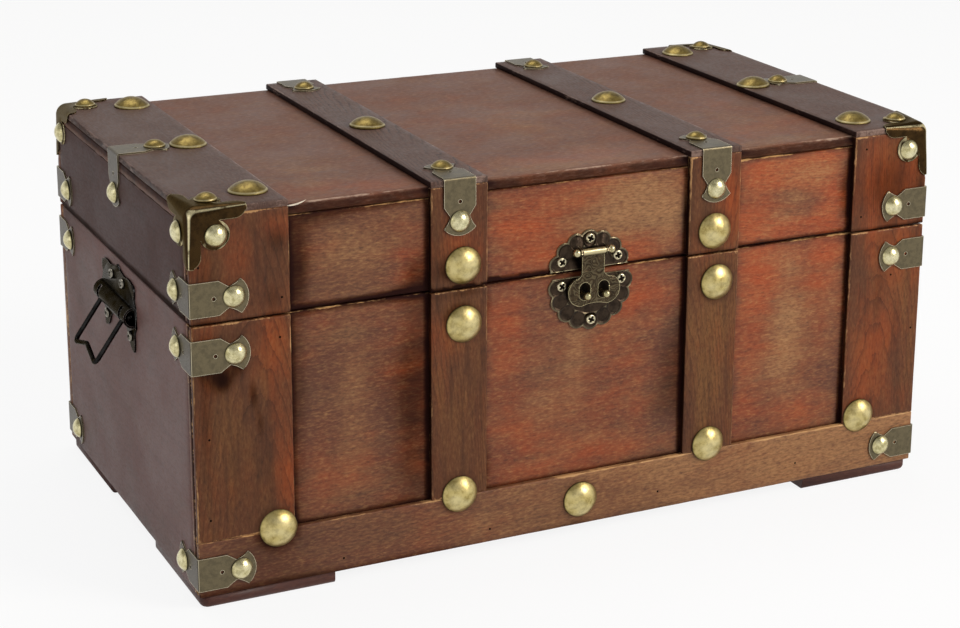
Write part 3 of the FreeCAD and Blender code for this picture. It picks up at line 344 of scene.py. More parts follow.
def under_caps(points):
    """Round the lid's four top corners as the metal needs it.

    Measured from a corner's three faces, a point keeps its place unless it lies outside a
    rounded edge whose radius grows from the fold's at the tongue's tip to the ball's at the
    corner; then it moves onto that round.
    """
    end = np.where(points[:, :2] > 0, 1, -1)
    depth = np.empty_like(points)
    depth[:, :2] = chest_high[:2] - end * points[:, :2]
    depth[:, 2] = chest_high[2] - points[:, 2]
    along = depth.max(1)
    radius = CAP_BALL + (CAP_FOLD - CAP_BALL) * np.clip(along / CAP_REACH, 0, 1)
    radius = np.where(along > CAP_REACH - 1.5 * MM, 0, radius)[:, None]
    short = np.maximum(radius - depth, 0)
    length = np.linalg.norm(short, axis=1, keepdims=True)
    scale = np.where(length > radius, radius / np.maximum(length, 1e-9), 1)
    depth = np.where(short > 0, radius - short * scale, depth)
    moved = points.copy()
    moved[:, :2] = end * (chest_high[:2] - depth[:, :2])
    moved[:, 2] = chest_high[2] - depth[:, 2]
    return moved


print("wooden box:", ((chest_high - chest_low) / MM).round(1), "mm")


# %% [markdown]
# ## The stain, laid on by hand
#
# The maker rubbed several stains into pale softwood: a red-brown all over, orange where the
# rag lifted colour, a purple-black pushed into the borders, and a golden middle where the
# wood was rubbed back. Each board carries four painted fields, worked out from its own place
# on the chest: how near a point is to an edge, how dark it is, from the stain and from painted
# shade, and how red and how golden the stain is.
# The recipe mixes the same few colours by those fields and breaks them up with grain.

# %% Painting fields
def daubs(u, v, places):
    """A sum of soft oval daubs, weight * exp(-du ^ 2 - dv ^ 2).

    Each place is its middle u and v and its reach both ways in mm, and its weight; du and dv
    are the distances from the middle in reaches.
    """
    total = np.zeros(len(u))
    for middle_u, middle_v, reach_u, reach_v, weight in places:
        du, dv = (u / MM - middle_u) / reach_u, (v / MM - middle_v) / reach_v
        total += weight * np.exp(-du ** 2 - dv ** 2)
    return total


def near_lines(value, lines, reach):
    """How close a coordinate is to the nearest of several lines: exp(-(gap / reach) ^ 1.5).

    gap and reach are in mm.
    """
    gap = np.abs(value[:, None] / MM - np.array(lines)[None, :]).min(1)
    return np.exp(-(gap / reach) ** 1.5)


print("0, 1 and 2 mm from a line:", near_lines(np.arange(3) * MM, [0], 1.3).round(2))


# %% The wood's recipe
def layered(node, ground, layers):
    """Lay colours over a ground, one after another: ground + share * (colour - ground).

    Each layer ends with its colour. Before it stands its share, or else a value, low, high and
    the shares at low and at high, between which the share is eased.
    """
    for *share, colour in layers:
        share = node("MapRange", *share, **EASE)[0] if len(share) > 1 else share[0]
        ground = node("Mix", share, named={6: ground, 7: colour}, data_type="RGBA")[2]
    return ground


def stained_wood(name, grain, brown, red, gold, dark, pale, shine=0.30, figure=0.5, worn=0.75,
                 streaks=0.20, drawn=0.35, fleck=0.20, pores=0.34, coarse=1.0):
    """Softwood under rubbed stain and satin varnish; grain is the axis the fibres follow.

    Fibres are about 1 mm wide and 3 mm long, growth lines 4 mm apart, and the rag's clouds
    36 mm across. The growth lines follow the board's own field, ring_mm, and waver a little.
    figure is how strongly they show, worn how bare the edges are, streaks the share of long
    dark streaks, and drawn how far the clouds are drawn out along the grain: 1 leaves them
    round. fleck is the share of bare wood that shines through the fibres, pores the share of
    stain in the pores, and coarse how much wider those are than 1.1 mm: real pores are too
    fine to show, so they are drawn as coarse as they need to be.
    Where the stain is thickest it has soaked the varnish up, so the gloss falls there; the gloss
    falls as well where painted shade darkens the wood.
    The eye gets a warm, uneven brown with a soft gloss, darker pores and pale rubbed edges.
    """
    material, node = new_material(name)
    place = node("TexCoord")["Object"]
    # A noise's scale is 1000 over the size of its spots in mm: 1 mm for fibres, 3.8 mm for
    # streaks, 36 mm for clouds, 14 mm for the growth lines' waver, 12.5 mm for patches, and
    # 1.1 mm times coarse for pores. The first number shrinks the place along the grain, which
    # draws the pattern out by as much: 0.34 makes it three times as long.
    patterns = []
    for share, scale, detail, bend in (
            (0.34, 1000, 4, 0), (0.07, 260, 4, 0), (1, 28, 6, 0), (drawn, 70, 6, 0.8),
            (drawn, 80, 6, 0.4), (0.3, 900 / coarse, 2, 0)):
        source = place
        if share < 1:
            shrunk = [share if axis == grain else 1 for axis in "XYZ"]
            source = node("Mapping", place, named={"Scale": shrunk})[0]
        patterns.append(node("TexNoise", source, named={
            "Scale": scale, "Detail": detail, "Roughness": 0.62, "Distortion": bend})[0])
    fibre, streak, cloud, growth, patch, speck = patterns
    edge_mm, darkness, redness, gilding, ring_mm = [
        node("Attribute", attribute_name=field)["Fac"]
        for field in ("edge_mm", "darkness", "redness", "gilding", "ring_mm")]

    # mottle = 1.9 (cloud / 2 + patch / 2 - 0.5), and waver = 2 (growth - 0.5)
    rag = node("Math", node("Math", cloud, 0.5, **TIMES)[0],
               node("Math", patch, 0.5, **TIMES)[0], **PLUS)[0]
    mottle = node("Math", node("Math", rag, 0.5, **MINUS)[0], 1.9, **TIMES)[0]
    waver = node("Math", node("Math", growth, 0.5, **MINUS)[0], 2, **TIMES)[0]
    # the wood is bared where gilding + waver is high, and more so between the fibres
    reddened = node("Math", redness, mottle, **PLUS)[0]
    gilded = node("Math", gilding, waver, **PLUS)[0]
    bared = node("Math", node("MapRange", gilded, -0.1, 1.25, **EASE)[0],
                 node("MapRange", fibre, 0.34, 0.58, 0.55, 0.95, **EASE)[0], **TIMES)[0]
    # gloom = darkness + waver / 2 - mottle / 2, where darkness holds the stain and the painted
    # shade
    drift = node("Math", node("Math", waver, 0.5, **TIMES)[0],
                 node("Math", mottle, 0.5, **TIMES)[0], **MINUS)[0]
    gloom = node("Math", darkness, drift, **PLUS)[0]
    # a growth line is dark at its outer end: the fraction of ring_mm / 4.2 + 2.2 growth, ^ 5
    ring = node("Math", node("Math", ring_mm, 4.2, operation="DIVIDE")[0],
                node("Math", growth, 2.2, **TIMES)[0], **PLUS)[0]
    ring = node("Math", node("Math", ring, operation="FRACT")[0], 5, operation="POWER")[0]
    shown = node("Math", node("MapRange", patch, 0.3, 0.6, **EASE)[0], figure, **TIMES)[0]
    # rubbed = edge_mm + 4 (patch - 0.46) + 1.6 (speck - 0.5), so worn edges end raggedly
    ragged = node("Math", node("Math", patch, 0.46, **MINUS)[0], 4, **TIMES)[0]
    dotted = node("Math", node("Math", speck, 0.5, **MINUS)[0], 1.6, **TIMES)[0]
    rubbed = node("Math", edge_mm, node("Math", ragged, dotted, **PLUS)[0], **PLUS)[0]
    colour = layered(node, brown, [
        (reddened, 0, 0.9, 0, 1, red), (bared, gold),
        (fibre, 0.48, 0.72, 0, fleck, pale), (speck, 0.54, 0.74, 0, fleck, pale),
        (gloom, 0, 1.1, 0, 1, dark), (node("Math", ring, shown, **TIMES)[0], dark),
        (streak, 0.46, 0.70, 0, streaks, dark), (fibre, 0.30, 0.50, 0.24, 0, dark),
        (speck, 0.26, 0.46, pores, 0, dark), (rubbed, 0.05, 0.75, worn, 0, pale),
        (speck, 0.60, 0.72, 0, max(0, 1.8 * fleck - 0.36), pale)])

    # height = fibre + 0.6 speck + 3.5 streaks * streak
    furrow = node("Math", node("Math", speck, 0.6, **TIMES)[0],
                  node("Math", streak, 3.5 * streaks, **TIMES)[0], **PLUS)[0]
    height = node("Math", fibre, furrow, **PLUS)[0]
    dull = node("Math", speck, cloud, **PLUS)[0]
    bumps = node("Bump", named={"Strength": 0.35, "Distance": 0.12 * MM, "Height": height})[0]
    varnish = node("BsdfPrincipled", named={
        "IOR": 1.5, "Base Color": colour,
        "Roughness": node("MapRange", dull, 0.7, 1.3, 0.43, 0.62, **EASE)[0],
        "Specular IOR Level": node("MapRange", darkness, 0.2, 0.7, shine, 0.1 * shine, **EASE)[0],
        "Normal": bumps})
    node("OutputMaterial", varnish[0])
    return material


print("node settings that recipes share:", PLUS, EASE)


# %% The stained woods
front_wood = stained_wood(
    "rubbed_pine_front", "X", "#673C28", "#A1471E", "#9C7049", "#26120F", "#CB9D68",
    figure=0.3, worn=0.85)
strap_wood = stained_wood(
    "rubbed_pine_straps", "Z", "#5C3620", "#91431B", "#80582F", "#1F0F0A", "#C99A68",
    shine=0.20, worn=0.8, streaks=0.34, drawn=0.2, fleck=0.06)
lid_wood = stained_wood(
    "rubbed_pine_lid", "X", "#643E2C", "#82482C", "#845F3D", "#2A1816", "#B89C88",
    shine=0.22, figure=0.08, streaks=0.03, drawn=0.6, pores=0.42, coarse=1.3)
lid_strap_wood = stained_wood(
    "rubbed_pine_over_lid", "Y", "#563E34", "#643F30", "#645044", "#241614", "#A08578",
    shine=0.24, figure=0.9, worn=0.5, streaks=0.16, fleck=0.14, pores=0.42, coarse=1.2)
end_wood = stained_wood(
    "rubbed_pine_ends", "Y", "#735752", "#78544E", "#78635A", "#24150F", "#93796C",
    shine=0.13, figure=0.25, worn=0.25, streaks=0.12, drawn=0.5, fleck=0.08)
# a darker copy of the ends' wood, for the lid's ends: painted shade
shaded_lid_end_wood = stained_wood(
    "twice_rubbed_pine_ends", "Y", "#54403D", "#5A3E39", "#55433D", "#24150F", "#86695A",
    shine=0.05, figure=0.25, worn=0.2, streaks=0.12, drawn=0.5, fleck=0.08)
foot_wood = stained_wood(
    "rubbed_pine_feet", "X", "#4A2820", "#5E2C20", "#5D3D2C", "#241313", "#9A7459",
    figure=0.3, fleck=0.08)
print("wood recipes:", [wood.name for wood in (front_wood, strap_wood, lid_wood, lid_strap_wood,
                                               end_wood, shaded_lid_end_wood, foot_wood)])


# %% [markdown]
# ## Laying the boards
#
# Which border a board shows decides where the dark stain gathers, and where painted contact
# shade is laid beside the straps that stand out over the panels. On the front that is every
# line where a strap, the rail or the seam meets a panel; on the lid it is along the straps and
# the front edge. The painted darkness is a falling curve of the distance to those lines, and
# the daubs are where the rag happened to leave more red, more gold or more black.

# %% Where the stain lies on the front
# The straps' edges across the front, and the panels' level borders: rail, seam and lid board.
strap_edges = [-190, -145, -78.6, -50.6, 54.2, 82.2, 146.8, 190]
panel_edges = [32, 132.1, 132.8, 176]
front_red = [
    (-32, 160, 20, 14, .5), (-22, 140, 24, 8, .35), (20, 141, 30, 6, .4), (8, 173, 18, 4, .25),
    (112, 168, 34, 8, 1), (92, 147, 12, 14, .4), (136, 150, 10, 20, .55), (-88, 152, 8, 14, .25),
    (112, 140, 26, 6, .5), (-124, 50, 14, 14, .3), (-136, 118, 10, 12, .15),
    (-38, 112, 12, 14, .45), (-30, 62, 20, 16, .2), (-6, 40, 44, 7, .45), (30, 118, 24, 12, .4),
    (22, 70, 18, 20, .15), (95, 112, 12, 24, .9), (136, 118, 10, 14, .55), (112, 124, 26, 7, .5),
    (118, 42, 22, 9, .35), (90, 60, 8, 20, .3)]
front_gold = [
    (-112, 158, 18, 14, .4), (-115, 90, 8, 34, .5), (32, 164, 24, 12, 1.1), (6, 152, 16, 12, .5),
    (44, 150, 8, 12, .5), (124, 166, 18, 7, .5), (112, 150, 14, 8, .3), (-4, 84, 7, 30, .5),
    (8, 98, 22, 8, .25), (113, 86, 10, 34, .85), (140, 92, 6, 22, .35), (-20, 74, 10, 24, .25)]
front_dark = [
    (-141, 90, 6, 60, .25), (-86, 84, 10, 60, .6), (-92, 50, 16, 16, .12), (-84, 140, 7, 10, .35),
    (-135, 160, 10, 16, .25), (46, 76, 14, 40, .45), (-46, 122, 8, 10, .3), (30, 56, 20, 10, .25),
    (-100, 62, 16, 24, .1), (145, 60, 5, 22, .2), (-125, 172, 26, 5, .3), (-112, 100, 30, 40, .15),
    (-47, 44, 6, 12, .25), (-8, 126, 30, 6, .15), (-140, 152, 5, 20, .3), (-60, 134, 40, 2, .5),
    (145, 155, 8, 20, .5)]


def paint_front(points):
    """Dark borders, golden middles and red shoulders on the front's panels; even inside the box."""
    x, z = points[:, 0], points[:, 2]
    # line and shade darken the panels next to the straps, rail and seam: stain in the joints, with
    # painted contact shade where those stand out over the panels
    line = np.maximum(near_lines(x, strap_edges, 1.3), near_lines(z, panel_edges, 0.8))
    shade = np.maximum(near_lines(x, strap_edges, 7), near_lines(z, panel_edges, 4))
    gold = daubs(x, z, front_gold)
    dark = -0.10 + 0.7 * line + 0.28 * shade + daubs(x, z, front_dark) - 0.25 * gold
    # painted shade: the front grows darker and less red towards its left end
    left = np.clip((-80 * MM - x) / (20 * MM), 0, 1)
    red = 0.24 - 0.15 * left + 0.70 * daubs(x, z, front_red)
    inside = points[:, 1] > -100 * MM
    return (np.where(inside, 0.10, dark + 0.16 * left), np.where(inside, 0.10, red),
            np.where(inside, 0.15, 0.12 + gold))


print("daubs on the front:", len(front_red + front_gold + front_dark))


# %% Where it lies on the lid and the straps
lid_red = [
    (-105, -88, 40, 14, .45), (5, -86, 50, 16, .6), (112, -75, 32, 24, .4), (0, 0, 34, 30, .25),
    (118, -20, 16, 16, .25)]
lid_gold = [
    (-120, -60, 20, 30, .3), (10, -20, 20, 50, .3), (110, -60, 20, 30, .3), (-20, -96, 40, 8, .6),
    (105, -96, 34, 7, .5)]
strap_red = [
    (-153, 118, 8, 20, .4), (-168, 160, 8, 14, .3), (-149, 60, 6, 24, .32), (-184, 126, 6, 8, .3),
    (-60, 150, 12, 14, .4), (-70, 110, 12, 14, .25), (78, 156, 8, 20, .6), (58, 140, 6, 14, .3),
    (168, 160, 24, 22, .75), (172, 118, 16, 20, .7), (160, 60, 20, 30, .45), (-150, 172, 8, 6, .4)]
strap_gold = [
    (-178, 150, 8, 22, .25), (-178, 84, 8, 26, .4), (-158, 100, 7, 16, .3), (-66, 80, 12, 40, .3),
    (68, 84, 12, 50, .75), (160, 90, 10, 30, .3), (-178, 60, 10, 40, .15), (182, 90, 8, 30, .25),
    (-64, 120, 12, 14, .3), (168, 172, 12, 6, .3)]
strap_dark = [
    (168, 158, 26, 26, .5), (168, 110, 6, 26, .2), (-184, 150, 6, 26, .35),
    (-168, 150, 24, 24, .12), (-153, 140, 5, 8, .3), (-177, 107, 5, 6, .95), (-184, 112, 4, 5, .6),
    (-169, 112, 4, 5, .6), (-163, 98, 2.5, 8, .6), (-160, 84, 2.5, 8, .5), (-180, 60, 12, 40, .12),
    (-170, 126, 20, 3, .3), (-150, 168, 7, 8, .4), (-158, 66, 5, 12, .25), (-185, 90, 4, 30, .35),
    (164, 96, 4, 22, .25), (176, 76, 4, 16, .25), (150, 120, 4, 20, .2), (-76, 150, 4, 30, .3),
    (-66, 122, 10, 7, .35), (188, 140, 5, 30, .25), (-64, 141, 10, 4, .4), (-60, 131, 14, 3, .5)]


print("daubs on lid and straps:", len(lid_red + lid_gold + strap_red + strap_gold + strap_dark))


# %% Painting the lid and the straps
def paint_lid(points):
    """Mauve-brown with a warm front, darkest against the straps; the front edge is nearly black."""
    x, y, z = points.T
    on_top = z > 178 * MM
    # painted shade with the stain against the straps on the top, and painted shade on the board's
    # short ends at the chest's sides
    border = near_lines(x, strap_edges, 4) * on_top + 1.1 * (np.abs(x) > 188.4 * MM)
    front_edge = np.clip((-102.4 * MM - y) / MM, 0, 1.4)
    dark = -0.05 + 0.4 * border + 0.55 * front_edge
    return dark, 0.10 + daubs(x, y, lid_red), 0.05 + daubs(x, y, lid_gold)


def paint_strap(points):
    """Streaky brown with the rag's daubs."""
    x, z = points[:, 0], points[:, 2]
    return (0.02 + daubs(x, z, strap_dark), 0.10 + daubs(x, z, strap_red),
            0.05 + daubs(x, z, strap_gold))


def paint_rail(points):
    """Golden brown, darker towards its left end and along its foot."""
    share = np.clip(points[:, 0] / 0.15, -1, 1)
    foot = np.clip((10 * MM - points[:, 2]) / (4 * MM), 0, 1)
    return 0.5 * foot - 0.30 * share, 0.05 + 0.10 * share, 0.60 + 0.50 * share


print("a strap's edges:", strap_edges[1:3], "mm")


# %% Painting the back, the ends and the rest
def paint_back(points):
    """Plainer work, only shaded along the borders and the seam."""
    x, z = points[:, 0], points[:, 2]
    shade = np.maximum(near_lines(x, [-190, 190], 12), near_lines(z, [6, 132.1, 132.8, 176], 8))
    return (0.04 + 0.35 * shade + 0.2 * waves(points, 90 * MM, 21),
            0.15 + 0.25 * waves(points, 70 * MM, 22), 0.12 + 0.3 * waves(points, 80 * MM, 23))


def paint_plain(points):
    """One even brown."""
    return 0.10, 0.05, 0.05


def paint_over(points):
    """The straps over the lid: even, with darker outer sides where they end the chest."""
    # painted shade on the outer sides, which look towards the chest's ends
    outer = 0.6 * (np.abs(points[:, 0]) > 189.6 * MM)
    first = 0.22 * (points[:, 0] < -145 * MM)
    return 0.10 + outer - first, 0.05, 0.05


def paint_end(points):
    """The lower box's ends, lighter towards the front, with soft clouds and shaded borders."""
    y, z = points[:, 1], points[:, 2]
    share = np.clip(-y / (100 * MM), -1, 1)
    shade = np.maximum(near_lines(y, [-107, 107], 9), near_lines(z, [6, 132.1], 9))
    return (0.05 - 0.10 * share + 0.22 * shade + 0.14 * waves(points, 80 * MM, 41),
            0.10 + 0.10 * share + 0.25 * waves(points, 60 * MM, 42),
            0.12 + 0.2 * waves(points, 70 * MM, 43))


print("painters for the back, the ends and plain boards are ready")


# %% Growth rings
def rings(node, points, low, high):
    """Flat-sawn figure, growth cones cut by the board's face: along / 9 + across ^ 2 / 26.

    across is the distance from the heart line, which runs with the grain and may lie outside
    the board: then the lines are nearly straight. Where it lies inside, they close in a V.
    """
    length = int(np.argmax(high - low))
    width = int(np.argsort(high - low)[1])
    dice = np.random.default_rng(sum(map(ord, node)))
    by_chance = dice.choice([-0.6, 1.5]) + dice.uniform(-0.25, 0.25)
    heart = {"base_strap_left_end": 0.68, "base_strap_right_end": 0.45, "lid_front_board": -0.15,
             "lid_front_strap_left_end": 0.6}.get(node, by_chance)
    across = (points[:, width] - low[width] - heart * (high - low)[width]) / MM
    along = (points[:, length] - low[length]) / MM
    return along / 9 + across ** 2 / 26 + (points @ np.ones(3)) / MM / 7


print("growth lines stand 4.2 mm apart")


# %% Painted shade and dirt round the nails
large_front_nails = [(-62.9, 143.8), (68.2, 143.8), (-62.5, 115.8), (70.3, 118), (-64.6, 33.2),
                     (68.2, 35.5), (-153.1, 33.2), (156.2, 35.5), (-1.6, 19)]
NAIL_RADIUS = 8.8 * MM


def shade_and_grime_round_nails(points, node):
    """Darkness that falls off within 3 mm of each large front nail's rim: painted contact shade,
    with dirt.
    """
    total = np.zeros(len(points))
    if "front" in node or "base_strap" in node or "rail" in node:
        for x, z in large_front_nails:
            gap = np.hypot(points[:, 0] - x * MM, points[:, 2] - z * MM) - NAIL_RADIUS
            total += 0.33 * np.exp(-(np.maximum(gap, 0) / (2.4 * MM)) ** 2)
    return total


print("large nails on the front:", len(large_front_nails))


# %% Boards, straps, rail and feet
def lay_board(node, material, slot, radius, step, paint, wear=0.10, shaded_sides=0.0):
    """Replace a plain solid with a sanded, stained board of the same size and place.

    radius is that of its edges, step the grid's and wear the depth of the dents along its
    arrises, all in mm. The last argument is the painted shade added on the faces towards the
    chest's ends, which darkens the straps' sides.
    """
    body = "lid" if node.startswith("lid_") else "base"
    low, high = piece_box(node)
    radius = min(radius * MM, (high - low).min() * 0.49)
    points, faces = six_grids(low, high, radius, step * MM)
    softness = radius
    if node == "lid_top_board":
        # its short ends were never sanded round
        at_end = np.minimum(points[:, :1] - low[0], high[0] - points[:, :1]) < 3 * MM
        softness = np.where(at_end, 0.25 * MM, radius)
    points, normal = rounded(points, low, high, softness)
    edge = from_edge(points, low, high)
    on_arris = (np.abs(normal) > 1e-4).sum(1) > 1
    dent = wear * MM * (0.5 + 0.5 * waves(points, 14 * MM, 7)) * on_arris
    points = points - normal * dent[:, None]
    if body == "lid":
        points = under_caps(points)
    dark, red, gold = paint(points)
    x, y, z = points.T
    # painted shade on the straps' side faces, those that look towards the chest's ends
    on_side = (np.abs(normal[:, 0]) > 0.75) * (np.abs(x) < 188 * MM)
    dark = dark + 0.10 * waves(points, 60 * MM, 11) + shaded_sides * on_side
    if body == "lid" and low[2] < 132.9 * MM:
        # boards that end at the seam: black along it, in ragged patches left of the latch
        ragged = np.clip(waves(points, 6 * MM, 31), 0, 1) * np.exp(-((x / MM + 60) / 26) ** 2)
        at_seam = np.exp(-((z - low[2]) / MM / (0.55 + 2.2 * ragged)) ** 2)
        dark, edge = dark + 1.4 * at_seam, edge + 3 * MM * at_seam
    if node == "lid_top_board":
        # worn along the front only, a little below the top
        on_front = (y < -99 * MM) & (z > 178 * MM)
        edge = np.where(on_front, np.abs(y + 102.6 * MM) + 0.15 * MM, edge + 3 * MM)
    if node == "base_bottom_rail":
        edge = edge + 3 * MM * np.clip((12 * MM - z) / (4 * MM), 0, 1)
    if "strap" in node and abs(low[0] + 0.190) > 2 * MM:
        # the pale worn line is taken off the straps' left arrises, but for the first strap's, so it
        # stays on the right arrises as wear and as a painted highlight
        edge = edge + 0.5 * MM * (normal[:, 0] < -0.3)
    # painted contact shade and dirt round the large front nails
    dark = dark + shade_and_grime_round_nails(points, node)
    fields = {"edge_mm": edge / MM, "darkness": dark, "redness": red, "gilding": gold,
              "ring_mm": rings(node, points, low, high)}
    return make_piece("wood_" + node, points, faces, fields, material, body, (node,), slot)


# The first word that is in a node's name gives its wood, slot, radius, step and painting.
board_kinds = [
    ("front_board", front_wood, "board_wood", 0.7, 2.5, paint_front),
    ("back_board", front_wood, "board_wood", 0.7, 4, paint_back),
    ("lid_top_board", lid_wood, "board_wood", 1.6, 2.5, paint_lid, 0.45),
    ("floor_board", front_wood, "board_wood", 0.5, 6, paint_plain),
    ("lid_left_board", shaded_lid_end_wood, "board_wood", 0.3, 4, paint_plain),
    ("lid_right_board", shaded_lid_end_wood, "board_wood", 0.3, 4, paint_plain),
    ("_board", end_wood, "board_wood", 0.6, 4, paint_end),
    ("top_strap", lid_strap_wood, "strap_wood", 0.45, 3, paint_over, 0.10, 0.9),
    ("strap", strap_wood, "strap_wood", 0.6, 1.6, paint_strap, 0.10, 0.9),
    ("rail", front_wood, "strap_wood", 0.6, 3, paint_rail)]
boards = []
for node in frame["nodes"]:
    for word, *kind in board_kinds:
        if word in node:
            boards.append(lay_board(node, *kind))
            break
print("boards laid:", len(boards))


# %% [markdown]
# ## Feet
#
# The feet are flat blocks whose lower edges were run over a router. Their shape in the
# construction model is already right, so a merged copy of each only takes the stain.

# %% Copies of construction solids
SMOOTH_ANGLE = 35


def merged_copy(node):
    """A node's mesh as a new mesh whose triangles share their corners."""
    mesh = frame["nodes"][node].data.copy()
    merge(mesh, 1e-6)
    return mesh


def copy_of(node, name, material, fields):
    """A merged copy of a node's mesh, smooth where its faces meet at less than SMOOTH_ANGLE."""
    mesh = merged_copy(node)
    mesh.name = name
    mesh.polygons.foreach_set("use_smooth", [True] * len(mesh.polygons))
    mesh.set_sharp_from_angle(angle=math.radians(SMOOTH_ANGLE))
    store(mesh, fields)
    mesh.materials.clear()
    mesh.materials.append(material)
    piece = put(name, mesh)
    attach(piece, frame["nodes"][node]["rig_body"])
    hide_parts(node)
    return piece


for node in frame["nodes"]:
    if node.startswith("foot_"):
        copy_of(node, "wood_" + node, foot_wood, {
            "edge_mm": 5, "darkness": 0.15, "redness": 0.1, "gilding": 0.05, "ring_mm": 0})


print("faces that meet at less than", SMOOTH_ANGLE, "degrees are shaded as one")


# %% [markdown]
# ## Brass
#
# All the metal is brass or plated steel, finished several ways. The nails were lacquered and
# have dulled to a pale olive. The brackets and corners were darkened in a tank and then
# tumbled, so their faces are grey-olive and every cut edge is bright. The latch and the
# handles are darker still. One recipe makes all of them: a dark skin, cloudy patina, and
# bright metal where an edge was rubbed. The Bevel node bends the normal near an edge, so
# there is an edge where the bent normal differs from the true one.

# %% The brass recipe
def aged_metal(name, bright, skin, patina, rough, edge_mm=0.0, edge_share=0.8, cloud_mm=5,
               grit=0.15, relief=None, fold_highlight=0.0, left_side_shade=0.0, glance="#FFFFFF"):
    """Aged metal: bright is the rubbed edge, skin the darkened face, patina the clouds on it.

    Three painted fields, which are zero where a piece has none: the first darkens to soot, for dirt
    and for painted shade in recesses and round a nail's foot; the second brings back the bright
    metal, both where cloths reached and as a painted highlight; the third turns the skin browner
    and duller, both as age and as painted shade. relief, if given, adds a height made of nodes, and
    brightens its crests, both as metal rubbed by a cloth and as a painted highlight. One share lays
    a painted highlight along folds, where the face looks halfway between two of the chest's axes
    and one of them runs front to back. Another lays painted shade on the faces that look to the
    chest's left end. glance tints what the metal reflects at a glancing angle, and is dark where
    the skin is soot-black.
    The eye gets dull, cloudy metal with a bright line wherever hands or cloths reach, and painted
    highlights on folds, crests and nail crowns.
    """
    material, node = new_material(name)
    place = node("TexCoord")["Object"]
    cloud = node("TexNoise", place, named={
        "Scale": 1000 / cloud_mm, "Detail": 6, "Roughness": 0.68})[0]
    # the fine grain of worn metal has spots of 0.6 mm, and 1000 / 0.6 is about 1700
    fine = node("TexNoise", place, named={"Scale": 1700, "Detail": 3, "Roughness": 0.7})[0]
    # the three painted fields: dirt with painted shade, cleaned metal with painted highlight, and
    # age with painted shade
    grime, rubbed, tarnish = [node("Attribute", attribute_name=field)["Fac"]
                              for field in ("grime", "polish", "tarnish")]
    # the skin is browned and dulled by age and by painted shade
    dulled_and_shaded = node("Math", tarnish, 0.75, **TIMES)[0]
    layers = [(cloud, 0.40, 0.66, 0, 1, patina), (fine, 0.56, 0.72, 0, 0.35, patina),
              (dulled_and_shaded, "#6F5C38")]
    facing = node("TexCoord")["Normal"]
    if edge_mm:
        # an edge is where the bent normal . the true one + 0.06 (cloud - 0.5) is below 0.968
        bent, true = node("Bevel", edge_mm * MM, samples=8)[0], node("NewGeometry")["Normal"]
        same = node("VectorMath", bent, true, operation="DOT_PRODUCT")["Value"]
        uneven = node("Math", node("Math", cloud, 0.5, **MINUS)[0], 0.06, **TIMES)[0]
        same = node("Math", same, uneven, **PLUS)[0]
        edge = node("MapRange", same, 0.86, 0.968, edge_share, 0, **EASE)[0]
        rubbed = node("Math", rubbed, edge, **LARGER)[0]
    # painted shade on the faces that look towards the chest's left end
    if left_side_shade:
        layers.append((node("SeparateXYZ", facing)[0], -0.85, -0.5, left_side_shade, 0, "#2A2018"))
    if fold_highlight:
        # a fold is where even the largest part of the normal is small; a painted highlight is laid
        # there, only on folds next to a face that looks front or back, broken by the clouds
        x, y, z = node("SeparateXYZ", node("VectorMath", facing, operation="ABSOLUTE")[0])
        squarest = node("Math", node("Math", x, y, **LARGER)[0], z, **LARGER)[0]
        fold = node("Math", node("MapRange", squarest, 0.715, 0.82, fold_highlight, 0, **EASE)[0],
                    node("MapRange", y, 0.2, 0.5, **EASE)[0], **TIMES)[0]
        fold = node("Math", fold, node("MapRange", cloud, 0.30, 0.52, **EASE)[0], **TIMES)[0]
        rubbed = node("Math", rubbed, fold, **LARGER)[0]
    height = node("Math", node("Math", fine, 0.6, **TIMES)[0], cloud, **PLUS)[0]
    strength, depth = grit, 0.1 * MM
    # the relief's crests are brightened as rubbed metal; on the petals' rims this is a painted
    # highlight as well
    if relief:
        lift, crest = relief(node, place)
        rubbed = node("Math", rubbed, crest, **LARGER)[0]
        height = node("Math", node("Math", height, 0.2, **TIMES)[0], lift, **PLUS)[0]
        strength, depth = 1.0, 0.5 * MM
    # bright metal where rubbed and where a highlight is painted, then soot for dirt and painted
    # shade
    layers += [(rubbed, bright), (grime, "#15100C")]
    dull = node("MapRange", fine, 0.3, 0.8, rough - 0.05, rough + 0.12, **EASE)[0]
    bumps = node("Bump", named={"Strength": strength, "Distance": depth, "Height": height})[0]
    metal = node("BsdfPrincipled", named={
        "Metallic": 1.0, "Specular Tint": glance, "Base Color": layered(node, skin, layers),
        "Roughness": node("Math", dull, node("Math", grime, 0.3, **TIMES)[0], **PLUS)[0],
        "Normal": bumps})
    node("OutputMaterial", metal[0])
    return material


# the soot colour, used for dirt and for painted shade
print("dirt in linear light:", np.round(linear("#15100C"), 4))


# %% The brass finishes
nail_brass = aged_metal("lacquered_brass", "#F4EBC2", "#C4B274", "#9A8850", 0.36,
                        cloud_mm=3.0, grit=0.2)
small_nail_brass = aged_metal("nickel_washed_brass", "#FBF7DC", "#D8CE9F", "#A59B6C", 0.27,
                              cloud_mm=2.0, grit=0.2)
# a darker copy of the nails' brass, for those on the lid: painted shade
top_nail_brass = aged_metal("shaded_nail_brass_on_lid", "#E6DAAC", "#8F7C46", "#6C5A32", 0.40,
                            cloud_mm=2.0, grit=0.25)
